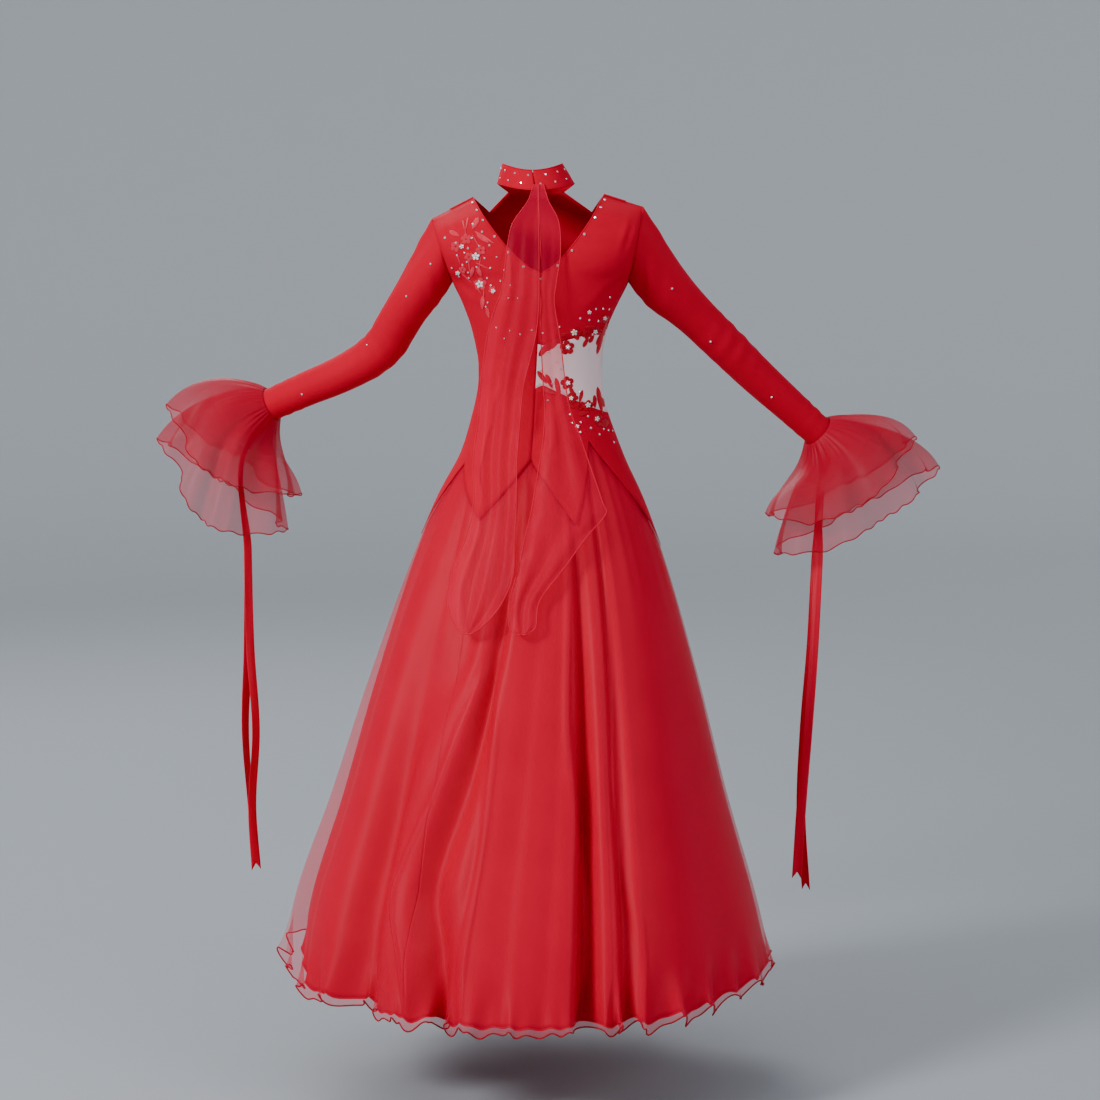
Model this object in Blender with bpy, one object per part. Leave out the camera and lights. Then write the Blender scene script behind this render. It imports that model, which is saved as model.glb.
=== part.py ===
"""Ballroom dance dress in red stretch cloth and organza, in its worn shape and empty.

Metres, +Z up. The dress front faces -Y and its back +Y. +X is the dress's own left.
The origin is the middle of the neck opening, level with the shoulder seams.
Every piece of cloth is a closed wall: a grid of outer points, and the same grid
moved inward by the cloth's thickness, joined round the rim.
"""
import math
from collections import namedtuple

import bpy
import bmesh
import numpy as np
from mathutils.bvhtree import BVHTree

# Cloth walls and the space left at a seam
STRETCH = 0.0015
ORGANZA = 0.0012
SATIN = 0.0010
LACE = 0.0010
SEAM_GAP = 0.0003
YOKE_SHIFT = 0.0004
INSET_SHIFT = 0.00021
SHARP_ANGLE = math.radians(50)

# Collar
COLLAR_BOTTOM = (0.064, 0.064)
COLLAR_TOP = (0.050, 0.055)
COLLAR_BOTTOM_X = 0.0075
COLLAR_TOP_X = 0.0130
COLLAR_BACK_Z = 0.0110
COLLAR_SIDE_Z = 0.0220
COLLAR_FRONT_Z = 0.0080
COLLAR_HEIGHT = 0.0320
COLLAR_COLUMNS = 32
COLLAR_OPENING = math.radians(1.0)
COLLAR_HELD = 2
COLLAR_REACH = 0.9

# Shoulders, neckline and armholes
SHOULDER_ROUND = 0.055
FRONT_ROUND = 0.090
SHOULDER_RISE = 0.24
V_TIP_X = -0.001
V_TIP_Z = -0.128
V_SAG = 0.016
ARMHOLE_BACK = 0.050
ARMHOLE_FRONT = 0.046
ARMHOLE_FULLNESS = 0.8
ARMHOLE_ROWS = 7
PIT_MITRE = 0.45
NECKLINE_DIP = (0.086, -0.026)
NECKLINE_SHARE = 0.4
NECKLINE_CORNER = 4
TORSO_MIDDLE = (0.0, 0.0, -0.3)
CUP_RISE = 0.010
CUP_X = 0.066
CUP_Z = -0.168
CUP_SIZE = 0.036

# Skirt
HEM_Z = -1.288
HEM_BACK_DROP = 0.022
FOLD_GROWTH = 0.9
OUTER_WAVES = 42
OUTER_WAVE = 0.012
UNDER_WAVES = 21
UNDER_WAVE = 0.008
UNDER_INSET = 0.036
UNDER_FOLD = 0.6
UNDER_HEM = 0.972
HEM_WAVE_START = 0.80
HEM_WAVE_POWER = 1.5
ROW_STEP = 0.02
COLUMN_SLACK = 0.01

# Sleeves and cuffs
SLEEVE_BLEND = 4
SLEEVE_START_RADIUS = 0.045
CUFF_OVERLAP = 0.009
CUFF_COLUMNS = 40
CUFF_WAVES = 7
CUFF_WAVE = 0.012
CUFF_SPRING = {"inner": 0.26, "outer": 0.48}
CUFF_SPREAD = {"inner": 0.7, "outer": 1.1}
CUFF_ARRIVE_UP = 0.25
CUFF_ARRIVE_BACK = 0.15
CUFF_MIDDLE = 0.05

# Floats and ribbons
FLOAT_COLUMNS = 8
FLOAT_FOLD = 0.012
FLOAT_FOLD_LENGTH = 0.30
FLOAT_FOLD_WIDTH = 0.060
FLOAT_HOLD_Z = -0.004
FLOAT_HOLD_HEIGHT = 0.014
FLOAT_REACH = 0.98
RIBBON_WIDTH = 0.017
RIBBON_NOTCH = 0.012

# Outline of the dress, level by level: half widths to its left and right, and
# depths behind and in front, all outside the cloth
Section = namedtuple("Section", "z left right back front")
FIGURE = (
    Section(0.030, 0.150, 0.150, 0.066, 0.062),
    Section(0.000, 0.150, 0.150, 0.074, 0.072),
    Section(-0.050, 0.150, 0.150, 0.086, 0.087),
    Section(-0.100, 0.150, 0.150, 0.093, 0.099),
    Section(-0.141, 0.146, 0.145, 0.093, 0.107),
    Section(-0.170, 0.132, 0.130, 0.090, 0.109),
    Section(-0.220, 0.114, 0.109, 0.083, 0.099),
    Section(-0.270, 0.104, 0.102, 0.077, 0.080),
    Section(-0.295, 0.103, 0.102, 0.077, 0.076),
    Section(-0.345, 0.111, 0.110, 0.086, 0.081),
    Section(-0.420, 0.132, 0.136, 0.110, 0.095),
    Section(-0.471, 0.160, 0.160, 0.128, 0.112),
    Section(-0.588, 0.212, 0.205, 0.174, 0.162),
    Section(-0.792, 0.287, 0.265, 0.252, 0.246),
    Section(-0.997, 0.355, 0.317, 0.325, 0.320),
    Section(-1.204, 0.425, 0.376, 0.394, 0.388),
    Section(-1.310, 0.440, 0.400, 0.414, 0.410),
)
SQUARENESS_Z = -0.45
SQUARENESS_BODY = 2.25
SQUARENESS_HEM = 2.0

# Shoulder seam ends and underarm points, as (x, z)
Side = namedtuple("Side", "name sign neck tip pit")
SIDES = (
    Side("left", 1, (0.112, -0.001), (0.180, -0.036), (0.146, -0.141)),
    Side("right", -1, (0.106, 0.004), (0.170, -0.016), (0.145, -0.140)),
)

# Rows of the bodice below the underarm: height at the centre back, at the side
# seam and at the centre front, as far as the lower edge of the waist inset
BodiceRow = namedtuple("BodiceRow", "back side front")
BODICE_ROWS = (
    BodiceRow(-0.128, -0.141, -0.136),
    BodiceRow(-0.166, -0.167, -0.168),
    BodiceRow(-0.205, -0.192, -0.204),
    BodiceRow(-0.243, -0.218, -0.240),
    BodiceRow(-0.264, -0.264, -0.268),
    BodiceRow(-0.285, -0.310, -0.300),
    BodiceRow(-0.307, -0.356, -0.340),
)
INSET_TOP = 3
INSET_BOTTOM = 6
YOKE_ROWS = 3

# The zigzag seam where the godets are set in. Columns count round the skirt
# from the centre back towards the dress's right; angles are from the centre
# back, positive towards its left
Yoke = namedtuple("Yoke", "column angle height")
YOKE = (
    Yoke(-20, 90, -0.560),
    Yoke(-14, 62, -0.437),
    Yoke(-6, 30, -0.524),
    Yoke(0, 5, -0.427),
    Yoke(6, -16, -0.532),
    Yoke(12, -36, -0.398),
    Yoke(24, -90, -0.580),
    Yoke(32, -125, -0.440),
    Yoke(38, -152, -0.530),
    Yoke(44, -180, -0.430),
    Yoke(50, -208, -0.530),
    Yoke(56, -235, -0.440),
    Yoke(64, -270, -0.560),
)
SKIRT_COLUMNS = 84
SIDE_SEAM_RIGHT = 24
SIDE_SEAM_LEFT = 64

# Folds of the skirt: where each ridge or valley meets the hem, and how far it
# lies inside the skirt's outline there
Fold = namedtuple("Fold", "column hem_angle depth")
FOLDS = (
    Fold(-20, 90, 0.000),
    Fold(-17, 75, 0.014),
    Fold(-14, 60, 0.000),
    Fold(-10, 45, 0.030),
    Fold(-6, 31, 0.000),
    Fold(-3, 23, 0.026),
    Fold(0, 17, 0.000),
    Fold(2, 9, 0.010),
    Fold(3, 5, 0.004),
    Fold(4, 0, 0.009),
    Fold(5, -5, 0.000),
    Fold(6, -11, 0.036),
    Fold(8, -17, 0.000),
    Fold(10, -21, 0.012),
    Fold(12, -26, 0.000),
    Fold(18, -55, 0.012),
    Fold(24, -90, 0.000),
    Fold(28, -107, 0.020),
    Fold(32, -124, 0.000),
    Fold(38, -150, 0.032),
    Fold(41, -163, 0.000),
    Fold(44, -180, 0.014),
    Fold(47, -197, 0.000),
    Fold(50, -210, 0.032),
    Fold(56, -236, 0.000),
    Fold(60, -253, 0.020),
    Fold(64, -270, 0.000),
)
GORE_SEAMS = (-20, -6, 6, 24, 38, 50, 64)
GORE_NAMES = ("back_left", "back_centre", "back_right", "front_right", "front_centre", "front_left")
SKIRT_ROWS = (0.0, 0.07, 0.18, 0.32, 0.48, 0.65, 0.80, 0.90)
HEM_ROW = 1.0
UNDER_ROWS = (0.0, 0.08, 0.20, 0.36, 0.54, 0.72, 0.86)

# Sleeves: middle of the sleeve below the armhole, and its outer radius
Arm = namedtuple("Arm", "x y z radius")
ARMS = {
    "left": (
        Arm(0.199, -0.035, -0.146, 0.0375),
        Arm(0.232, -0.065, -0.197, 0.0360),
        Arm(0.271, -0.100, -0.256, 0.0350),
        Arm(0.334, -0.125, -0.297, 0.0315),
        Arm(0.396, -0.150, -0.324, 0.0295),
        Arm(0.472, -0.175, -0.358, 0.0275),
    ),
    "right": (
        Arm(-0.208, -0.030, -0.146, 0.0375),
        Arm(-0.259, -0.060, -0.197, 0.0350),
        Arm(-0.313, -0.090, -0.249, 0.0335),
        Arm(-0.367, -0.120, -0.301, 0.0315),
        Arm(-0.426, -0.150, -0.354, 0.0290),
        Arm(-0.484, -0.175, -0.406, 0.0270),
    ),
}
SLEEVE_STEPS = 11

# Hems of the cuff flounces, measured from the middle of the wrist: out from the
# body, towards the back, and up. The angle goes round the wrist from its upper side
CuffHem = namedtuple("CuffHem", "angle out back up")
CUFFS = {
    ("left", "outer"): (
        CuffHem(0, 0.164, -0.005, -0.004),
        CuffHem(45, 0.140, 0.060, -0.052),
        CuffHem(90, 0.087, 0.105, -0.110),
        CuffHem(135, 0.018, 0.100, -0.136),
        CuffHem(180, -0.054, 0.035, -0.150),
        CuffHem(225, -0.016, -0.050, -0.150),
        CuffHem(270, 0.064, -0.100, -0.096),
        CuffHem(315, 0.130, -0.070, -0.052),
    ),
    ("left", "inner"): (
        CuffHem(0, 0.182, -0.005, -0.061),
        CuffHem(45, 0.150, 0.045, -0.113),
        CuffHem(90, 0.112, 0.080, -0.186),
        CuffHem(135, 0.041, 0.080, -0.213),
        CuffHem(180, -0.029, 0.020, -0.211),
        CuffHem(225, 0.006, -0.050, -0.190),
        CuffHem(270, 0.092, -0.085, -0.136),
        CuffHem(315, 0.158, -0.060, -0.086),
    ),
    ("right", "outer"): (
        CuffHem(0, 0.158, -0.005, -0.008),
        CuffHem(45, 0.128, 0.060, -0.050),
        CuffHem(90, 0.065, 0.105, -0.111),
        CuffHem(135, -0.022, 0.100, -0.144),
        CuffHem(180, -0.096, 0.035, -0.135),
        CuffHem(225, -0.056, -0.050, -0.138),
        CuffHem(270, 0.050, -0.105, -0.100),
        CuffHem(315, 0.132, -0.070, -0.046),
    ),
    ("right", "inner"): (
        CuffHem(0, 0.199, -0.005, -0.058),
        CuffHem(45, 0.166, 0.045, -0.095),
        CuffHem(90, 0.103, 0.080, -0.139),
        CuffHem(135, 0.010, 0.080, -0.191),
        CuffHem(180, -0.080, 0.020, -0.205),
        CuffHem(225, -0.043, -0.050, -0.190),
        CuffHem(270, 0.072, -0.085, -0.136),
        CuffHem(315, 0.158, -0.060, -0.084),
    ),
}
CUFF_ROWS = (0.0, 0.25, 0.60, 1.0)

# Two organza floats that hang from the collar down the back
Float = namedtuple("Float", "z left right")
FLOATS = {
    "left": (
        Float(0.020, 0.013, 0.0035),
        Float(-0.008, 0.015, 0.0035),
        Float(-0.041, 0.044, 0.003),
        Float(-0.075, 0.053, 0.002),
        Float(-0.146, 0.062, 0.002),
        Float(-0.184, 0.075, 0.003),
        Float(-0.228, 0.087, 0.008),
        Float(-0.306, 0.098, 0.027),
        Float(-0.363, 0.102, 0.033),
        Float(-0.427, 0.110, 0.038),
        Float(-0.498, 0.109, 0.039),
        Float(-0.553, 0.122, 0.042),
        Float(-0.607, 0.146, 0.044),
        Float(-0.654, 0.150, 0.064),
        Float(-0.686, 0.141, 0.092),
        Float(-0.700, 0.126, 0.112),
    ),
    "right": (
        Float(0.020, 0.0025, -0.007),
        Float(-0.008, 0.0025, -0.010),
        Float(-0.041, 0.001, -0.029),
        Float(-0.091, -0.001, -0.033),
        Float(-0.140, -0.001, -0.026),
        Float(-0.172, -0.001, -0.023),
        Float(-0.228, -0.001, -0.032),
        Float(-0.294, -0.004, -0.040),
        Float(-0.343, -0.007, -0.048),
        Float(-0.390, -0.005, -0.065),
        Float(-0.430, 0.001, -0.079),
        Float(-0.493, 0.012, -0.101),
        Float(-0.514, 0.016, -0.106),
        Float(-0.553, 0.026, -0.071),
        Float(-0.592, 0.034, -0.042),
        Float(-0.646, 0.049, 0.000),
        Float(-0.686, 0.050, 0.007),
        Float(-0.699, 0.037, 0.021),
    ),
}
FLOAT_WAVES = {"left": 2.5, "right": 2.0}

# How the floats hang off the back: depth at the middle and half width
Drape = namedtuple("Drape", "z depth half_width")
DRAPE = (
    Drape(-0.010, 0.0700, 0.110),
    Drape(-0.050, 0.0890, 0.165),
    Drape(-0.130, 0.1050, 0.175),
    Drape(-0.250, 0.1040, 0.160),
    Drape(-0.350, 0.1080, 0.155),
    Drape(-0.430, 0.1260, 0.165),
    Drape(-0.500, 0.1530, 0.200),
    Drape(-0.600, 0.1930, 0.240),
    Drape(-0.720, 0.2380, 0.285),
)

# Wrist ribbons, two to each arm: drop below the wrist, place from the wrist's
# middle, and turn of the ribbon's width away from the back-to-front direction
Ribbon = namedtuple("Ribbon", "drop out back turn")
RIBBONS = {
    ("left", "front"): (
        Ribbon(0.070, 0.036, 0.006, 10),
        Ribbon(0.250, 0.034, 0.020, 40),
        Ribbon(0.420, 0.036, 0.024, 55),
        Ribbon(0.560, 0.042, 0.024, 40),
        Ribbon(0.700, 0.034, 0.022, 30),
        Ribbon(0.790, 0.028, 0.020, 35),
    ),
    ("left", "back"): (
        Ribbon(0.070, 0.034, 0.028, 20),
        Ribbon(0.250, 0.033, 0.036, 45),
        Ribbon(0.420, 0.030, 0.040, 50),
        Ribbon(0.560, 0.022, 0.040, 45),
        Ribbon(0.700, 0.030, 0.040, 50),
        Ribbon(0.806, 0.024, 0.040, 65),
    ),
    ("right", "front"): (
        Ribbon(0.070, 0.000, 0.006, 20),
        Ribbon(0.220, -0.008, 0.014, 60),
        Ribbon(0.360, -0.014, 0.018, 70),
        Ribbon(0.520, -0.026, 0.020, 60),
        Ribbon(0.660, -0.030, 0.020, 60),
        Ribbon(0.798, -0.020, 0.020, 50),
    ),
    ("right", "back"): (
        Ribbon(0.070, 0.000, 0.028, 30),
        Ribbon(0.220, -0.006, 0.034, 70),
        Ribbon(0.360, -0.012, 0.038, 75),
        Ribbon(0.520, -0.022, 0.040, 70),
        Ribbon(0.660, -0.032, 0.040, 75),
        Ribbon(0.774, -0.038, 0.040, 80),
    ),
}
RIBBON_STEPS = 11

# How a ribbon leaves its sleeve: how far past the sleeve's end, the share of the
# way out to the cloth, and the drop
RibbonStart = namedtuple("RibbonStart", "along share drop")
RIBBON_STARTS = (
    RibbonStart(-0.012, 0.93, 0.000),
    RibbonStart(0.006, 0.93, 0.000),
    RibbonStart(0.022, 0.95, 0.012),
)
RIBBON_LEAN = math.radians(40)

# Raised lace on the back: middle line of each spray, and its half width
Spray = namedtuple("Spray", "x z half_width")
SPRAYS = {
    "applique_shoulder": (
        Spray(0.120, -0.052, 0.006),
        Spray(0.115, -0.070, 0.016),
        Spray(0.110, -0.090, 0.022),
        Spray(0.104, -0.122, 0.018),
        Spray(0.090, -0.152, 0.014),
        Spray(0.086, -0.186, 0.006),
    ),
    "applique_waist_upper": (
        Spray(-0.006, -0.240, 0.007),
        Spray(-0.036, -0.229, 0.010),
        Spray(-0.066, -0.216, 0.014),
        Spray(-0.086, -0.208, 0.014),
        Spray(-0.100, -0.198, 0.010),
    ),
    "applique_waist_lower": (
        Spray(-0.006, -0.313, 0.006),
        Spray(-0.036, -0.329, 0.010),
        Spray(-0.066, -0.350, 0.014),
        Spray(-0.092, -0.366, 0.015),
        Spray(-0.112, -0.378, 0.010),
    ),
}
BACK_PIECES = ("bodice_back_left", "bodice_back_right_upper", "waist_inset", "bodice_back_right_lower")
SPRAY_STEPS = 15
SPRAY_LEAVES = 5.5
SPRAY_STEM = 0.55
SPRAY_LIFT = 0.0009
RAY_START = 0.5

# Colours are linear red, green and blue
Finish = namedtuple("Finish", "colour roughness alpha")
FINISHES = {
    "red_stretch": Finish((0.560, 0.004, 0.014), 0.62, 1.0),
    "red_organza": Finish((0.600, 0.010, 0.024), 0.45, 0.75),
    "red_satin": Finish((0.520, 0.003, 0.012), 0.30, 1.0),
    "nude_mesh": Finish((0.560, 0.400, 0.380), 0.70, 1.0),
    "red_lace": Finish((0.640, 0.050, 0.050), 0.55, 1.0),
}


def unit(vectors):
    """Vectors scaled to length one, along the last axis."""
    return vectors / np.linalg.norm(vectors, axis=-1, keepdims=True)


def smooth(at, knots, values):
    """Cubic curve through the knots, with slopes from their neighbours."""
    knots = np.asarray(knots, float)
    values = np.asarray(values, float)
    if knots[0] > knots[-1]:
        knots = knots[::-1]
        values = values[::-1]
    at = np.clip(np.asarray(at, float), knots[0], knots[-1])
    slopes = np.gradient(values, knots, axis=0)
    right = np.clip(np.searchsorted(knots, at, side="right"), 1, len(knots) - 1)
    left = right - 1
    span = knots[right] - knots[left]
    t = (at - knots[left]) / span
    if values.ndim > 1:
        span = span[..., None]
        t = t[..., None]
    start = (1 + 2 * t) * (1 - t) ** 2 * values[left] + t * (1 - t) ** 2 * span * slopes[left]
    end = t * t * (3 - 2 * t) * values[right] + t * t * (t - 1) * span * slopes[right]
    return start + end


def column_of(table, name):
    """One named column of a table, as an array."""
    return np.array([getattr(row, name) for row in table], float)


def figure(z, name):
    """A half width or depth of the dress's outline at the height z."""
    return smooth(z, column_of(FIGURE, "z"), column_of(FIGURE, name))


def squareness(z):
    """Exponent of the outline: a little square at the body, round at the hem."""
    along = np.clip((np.asarray(z) - SQUARENESS_Z) / (HEM_Z - SQUARENESS_Z), 0, 1)
    return SQUARENESS_BODY + (SQUARENESS_HEM - SQUARENESS_BODY) * along


def ring_point(angle, z):
    """Point of the dress at an angle in radians from the centre back."""
    sine = np.sin(angle)
    cosine = np.cos(angle)
    power = 2 / squareness(z)
    width = np.where(sine >= 0, figure(z, "left"), figure(z, "right"))
    depth = np.where(cosine >= 0, figure(z, "back"), figure(z, "front"))
    x = width * np.sign(sine) * np.abs(sine) ** power
    y = depth * np.sign(cosine) * np.abs(cosine) ** power
    return np.stack([x, y, z + 0 * x], axis=-1)


def ring_inward(angle, z):
    """Level direction into the dress, square to its outline."""
    sine = np.sin(angle)
    cosine = np.cos(angle)
    power = 2 - 2 / squareness(z)
    width = np.where(sine >= 0, figure(z, "left"), figure(z, "right"))
    depth = np.where(cosine >= 0, figure(z, "back"), figure(z, "front"))
    x = -np.sign(sine) * np.abs(sine) ** power / width
    y = -np.sign(cosine) * np.abs(cosine) ** power / depth
    return unit(np.stack([x, y, 0 * x], axis=-1))


def grid_inward(points, towards):
    """Normals of a grid of points, turned to face the place they lead into."""
    down = np.gradient(points, axis=0)
    across = np.gradient(points, axis=1)
    normals = unit(np.cross(down, across))
    facing = np.sum(normals * (towards - points), axis=-1).mean()
    return normals if facing > 0 else -normals


def material(name):
    """The plain material of a cloth, made once."""
    known = bpy.data.materials.get(name)
    if known:
        return known
    finish = FINISHES[name]
    made = bpy.data.materials.new(name)
    made.use_nodes = True
    shader = made.node_tree.nodes["Principled BSDF"]
    shader.inputs["Base Color"].default_value = (*finish.colour, 1.0)
    shader.inputs["Roughness"].default_value = finish.roughness
    shader.inputs["Metallic"].default_value = 0.0
    shader.inputs["Alpha"].default_value = finish.alpha
    made.diffuse_color = (*finish.colour, finish.alpha)
    return made


def strip_faces(upper, lower):
    """Triangles between two rows of point numbers, equal or one twice as fine."""
    faces = []
    if len(upper) == len(lower):
        for i in range(len(upper) - 1):
            faces.append((upper[i], lower[i], lower[i + 1]))
            faces.append((upper[i], lower[i + 1], upper[i + 1]))
        return faces
    for i in range(len(upper) - 1):
        faces.append((upper[i], lower[2 * i], lower[2 * i + 1]))
        faces.append((upper[i], lower[2 * i + 1], upper[i + 1]))
        faces.append((upper[i + 1], lower[2 * i + 1], lower[2 * i + 2]))
    return faces


def wall(name, outer_rows, inward_rows, thickness, finish, closed=False):
    """A closed wall of cloth from rows of outer points and their inward directions."""
    points = []
    rows = {"outer": [], "inner": []}
    for layer, depth in (("outer", 0.0), ("inner", thickness)):
        for outer, inward in zip(outer_rows, inward_rows):
            first = len(points)
            points.extend((np.asarray(outer) + depth * np.asarray(inward)).tolist())
            numbers = list(range(first, len(points)))
            if closed:
                numbers.append(first)
            rows[layer].append(numbers)
    faces = []
    for layer in ("outer", "inner"):
        flip = layer == "inner"
        for upper, lower in zip(rows[layer], rows[layer][1:]):
            for face in strip_faces(upper, lower):
                faces.append(face[::-1] if flip else face)
    for end, turn in ((0, 1), (-1, -1)):
        for face in strip_faces(rows["inner"][end], rows["outer"][end]):
            faces.append(face[::turn])
    if not closed:
        for side, turn in ((0, -1), (-1, 1)):
            outer_edge = [row[side] for row in rows["outer"]]
            inner_edge = [row[side] for row in rows["inner"]]
            for face in strip_faces(inner_edge, outer_edge):
                faces.append(face[::turn])
    mesh = bpy.data.meshes.new(name)
    mesh.from_pydata(points, [], faces)
    body = bmesh.new()
    body.from_mesh(mesh)
    bmesh.ops.recalc_face_normals(body, faces=body.faces)
    body.to_mesh(mesh)
    body.free()
    mesh.shade_smooth()
    mesh.set_sharp_from_angle(angle=SHARP_ANGLE)
    mesh.materials.append(material(finish))
    piece = bpy.data.objects.new(name, mesh)
    bpy.context.scene.collection.objects.link(piece)
    return piece


# Collar

def collar_ring(angle, rise):
    """Outer points of the collar at an angle from the back, and a share of its height."""
    bottom = np.where(
        np.cos(angle) > 0,
        COLLAR_SIDE_Z + (COLLAR_BACK_Z - COLLAR_SIDE_Z) * np.cos(angle) ** 2,
        COLLAR_SIDE_Z + (COLLAR_FRONT_Z - COLLAR_SIDE_Z) * np.minimum(1, 2 * np.cos(angle) ** 2),
    )
    half_x = COLLAR_BOTTOM[0] + (COLLAR_TOP[0] - COLLAR_BOTTOM[0]) * rise
    half_y = COLLAR_BOTTOM[1] + (COLLAR_TOP[1] - COLLAR_BOTTOM[1]) * rise
    x = COLLAR_BOTTOM_X + (COLLAR_TOP_X - COLLAR_BOTTOM_X) * rise + half_x * np.sin(angle)
    y = half_y * np.cos(angle)
    return np.stack([x, y, bottom + COLLAR_HEIGHT * rise + 0 * x], axis=-1)


def build_collar():
    """A standing collar, open at the centre back where its ends meet."""
    turn = np.linspace(COLLAR_OPENING, 2 * math.pi - COLLAR_OPENING, COLLAR_COLUMNS + 1)
    steps = np.arange(COLLAR_COLUMNS + 1) * 2 * math.pi / COLLAR_COLUMNS
    turn[1:-1] = steps[1:-1]
    rows = [collar_ring(turn, rise) for rise in (1.0, 0.0)]
    lift = np.array([0, 0, SEAM_GAP / 2])
    rows = [row + lift for row in rows]
    inward = unit(np.stack([-np.sin(turn), -np.cos(turn), 0 * turn], axis=-1))
    wall("collar", rows, [inward] * 2, STRETCH, "red_stretch")


# Bodice

def armhole_edge(side, share):
    """Front-on place of the armhole edge, from the shoulder tip to the underarm."""
    x = side.tip[0] + (side.pit[0] - side.tip[0]) * share
    z = side.tip[1] + (side.pit[1] - side.tip[1]) * share
    return x, z


def shoulder_line(side, x):
    """Height of the shoulder seam over x, carried on towards the neck."""
    slope = (side.tip[1] - side.neck[1]) / (side.tip[0] - side.neck[0])
    outside = side.neck[1] + slope * (x - side.neck[0])
    inside = side.neck[1] + SHOULDER_RISE * (side.neck[0] - x)
    return np.where(x > side.neck[0], outside, inside)


def chest_depth(side, x, z, share, where):
    """How far the cloth stands behind or in front of the shoulder seam."""
    edge_x = armhole_edge(side, share)[0]
    bulge = ARMHOLE_BACK if where == "back" else ARMHOLE_FRONT
    edge = bulge * np.sin(math.pi * np.clip(share, 0, 1)) ** ARMHOLE_FULLNESS
    full = figure(z, where)
    if where == "front":
        full = full + cup(x, z)
    across = np.clip(np.abs(x) / edge_x, 0, 1) ** SQUARENESS_BODY
    depth = edge + (full - edge) * (1 - across) ** (1 / SQUARENESS_BODY)
    rounding = SHOULDER_ROUND if where == "back" else FRONT_ROUND
    fall = np.clip((shoulder_line(side, np.abs(x)) - z) / rounding, 0, 1)
    return depth * np.sqrt(1 - (1 - fall) ** 2)


def cup(x, z):
    """Fullness that the bust darts give."""
    across = (np.abs(x) - CUP_X) / CUP_SIZE
    up = (z - CUP_Z) / CUP_SIZE
    return CUP_RISE * np.exp(-across ** 2 - up ** 2)


def armhole_loop(side):
    """Points and inward directions round an armhole, from the shoulder over the back."""
    share = np.linspace(0, 1, ARMHOLE_ROWS)
    x, z = armhole_edge(side, share)
    loop = []
    for where, turn in (("back", 1), ("front", -1)):
        y = turn * chest_depth(side, x, z, share, where)
        loop.append(np.stack([side.sign * x, y, z], axis=-1))
    points = np.concatenate([loop[0], loop[1][-2:0:-1]])
    shares = np.concatenate([share, share[-2:0:-1]])
    inward = unit(points.mean(axis=0) - points)
    inward[:, 0] -= PIT_MITRE * side.sign * shares ** 3
    return points, unit(inward)


def armhole_axis(side):
    """Direction square to the armhole, away from the body."""
    along = np.array([side.tip[0] - side.pit[0], 0, side.tip[1] - side.pit[1]])
    out = unit(np.array([along[2], 0, -along[0]]))
    return out * np.array([side.sign, 1, 1])


def yoke_angles(columns):
    """Angles in radians and heights of the zigzag seam at some columns."""
    at = column_of(YOKE, "column")
    angle = np.interp(columns, at, column_of(YOKE, "angle"))
    height = np.interp(columns, at, column_of(YOKE, "height"))
    return np.radians(angle), height


def yoke_points(columns):
    """Points and inward directions of the zigzag seam: straight between even columns."""
    even = np.floor(np.asarray(columns) / 2) * 2
    share = ((columns - even) / 2)[:, None]
    ends = []
    for step in (0, 2):
        angle, height = yoke_angles(np.minimum(even + step, YOKE[-1].column))
        ends.append((ring_point(angle, height), ring_inward(angle, height)))
    points = ends[0][0] * (1 - share) + ends[1][0] * share
    inward = ends[0][1] * (1 - share) + ends[1][1] * share
    return points, inward


def lower_heights(angles, heights, level, where):
    """Heights of one row of a panel, from the underarm down to the zigzag seam."""
    last = len(BODICE_ROWS) - 1
    row = BODICE_ROWS[min(level, last)]
    middle = getattr(row, where)
    z = middle + (row.side - middle) * np.abs(np.sin(angles)) ** (2 / SQUARENESS_BODY)
    past = max(0, level - last) / YOKE_ROWS
    return z + (heights - z) * past


def back_lower(columns, start_sine):
    """Rows of half the back from the underarm down to the zigzag seam."""
    angles, heights = yoke_angles(columns)
    start = np.arcsin(np.clip(start_sine, -1, 1))
    count = len(BODICE_ROWS) - 1 + YOKE_ROWS
    rows = []
    for level in range(1, count + 1):
        z = lower_heights(angles, heights, level, "back")
        around = start + (angles - start) * level / count
        rows.append((ring_point(around, z), ring_inward(around, z)))
    return rows


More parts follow.
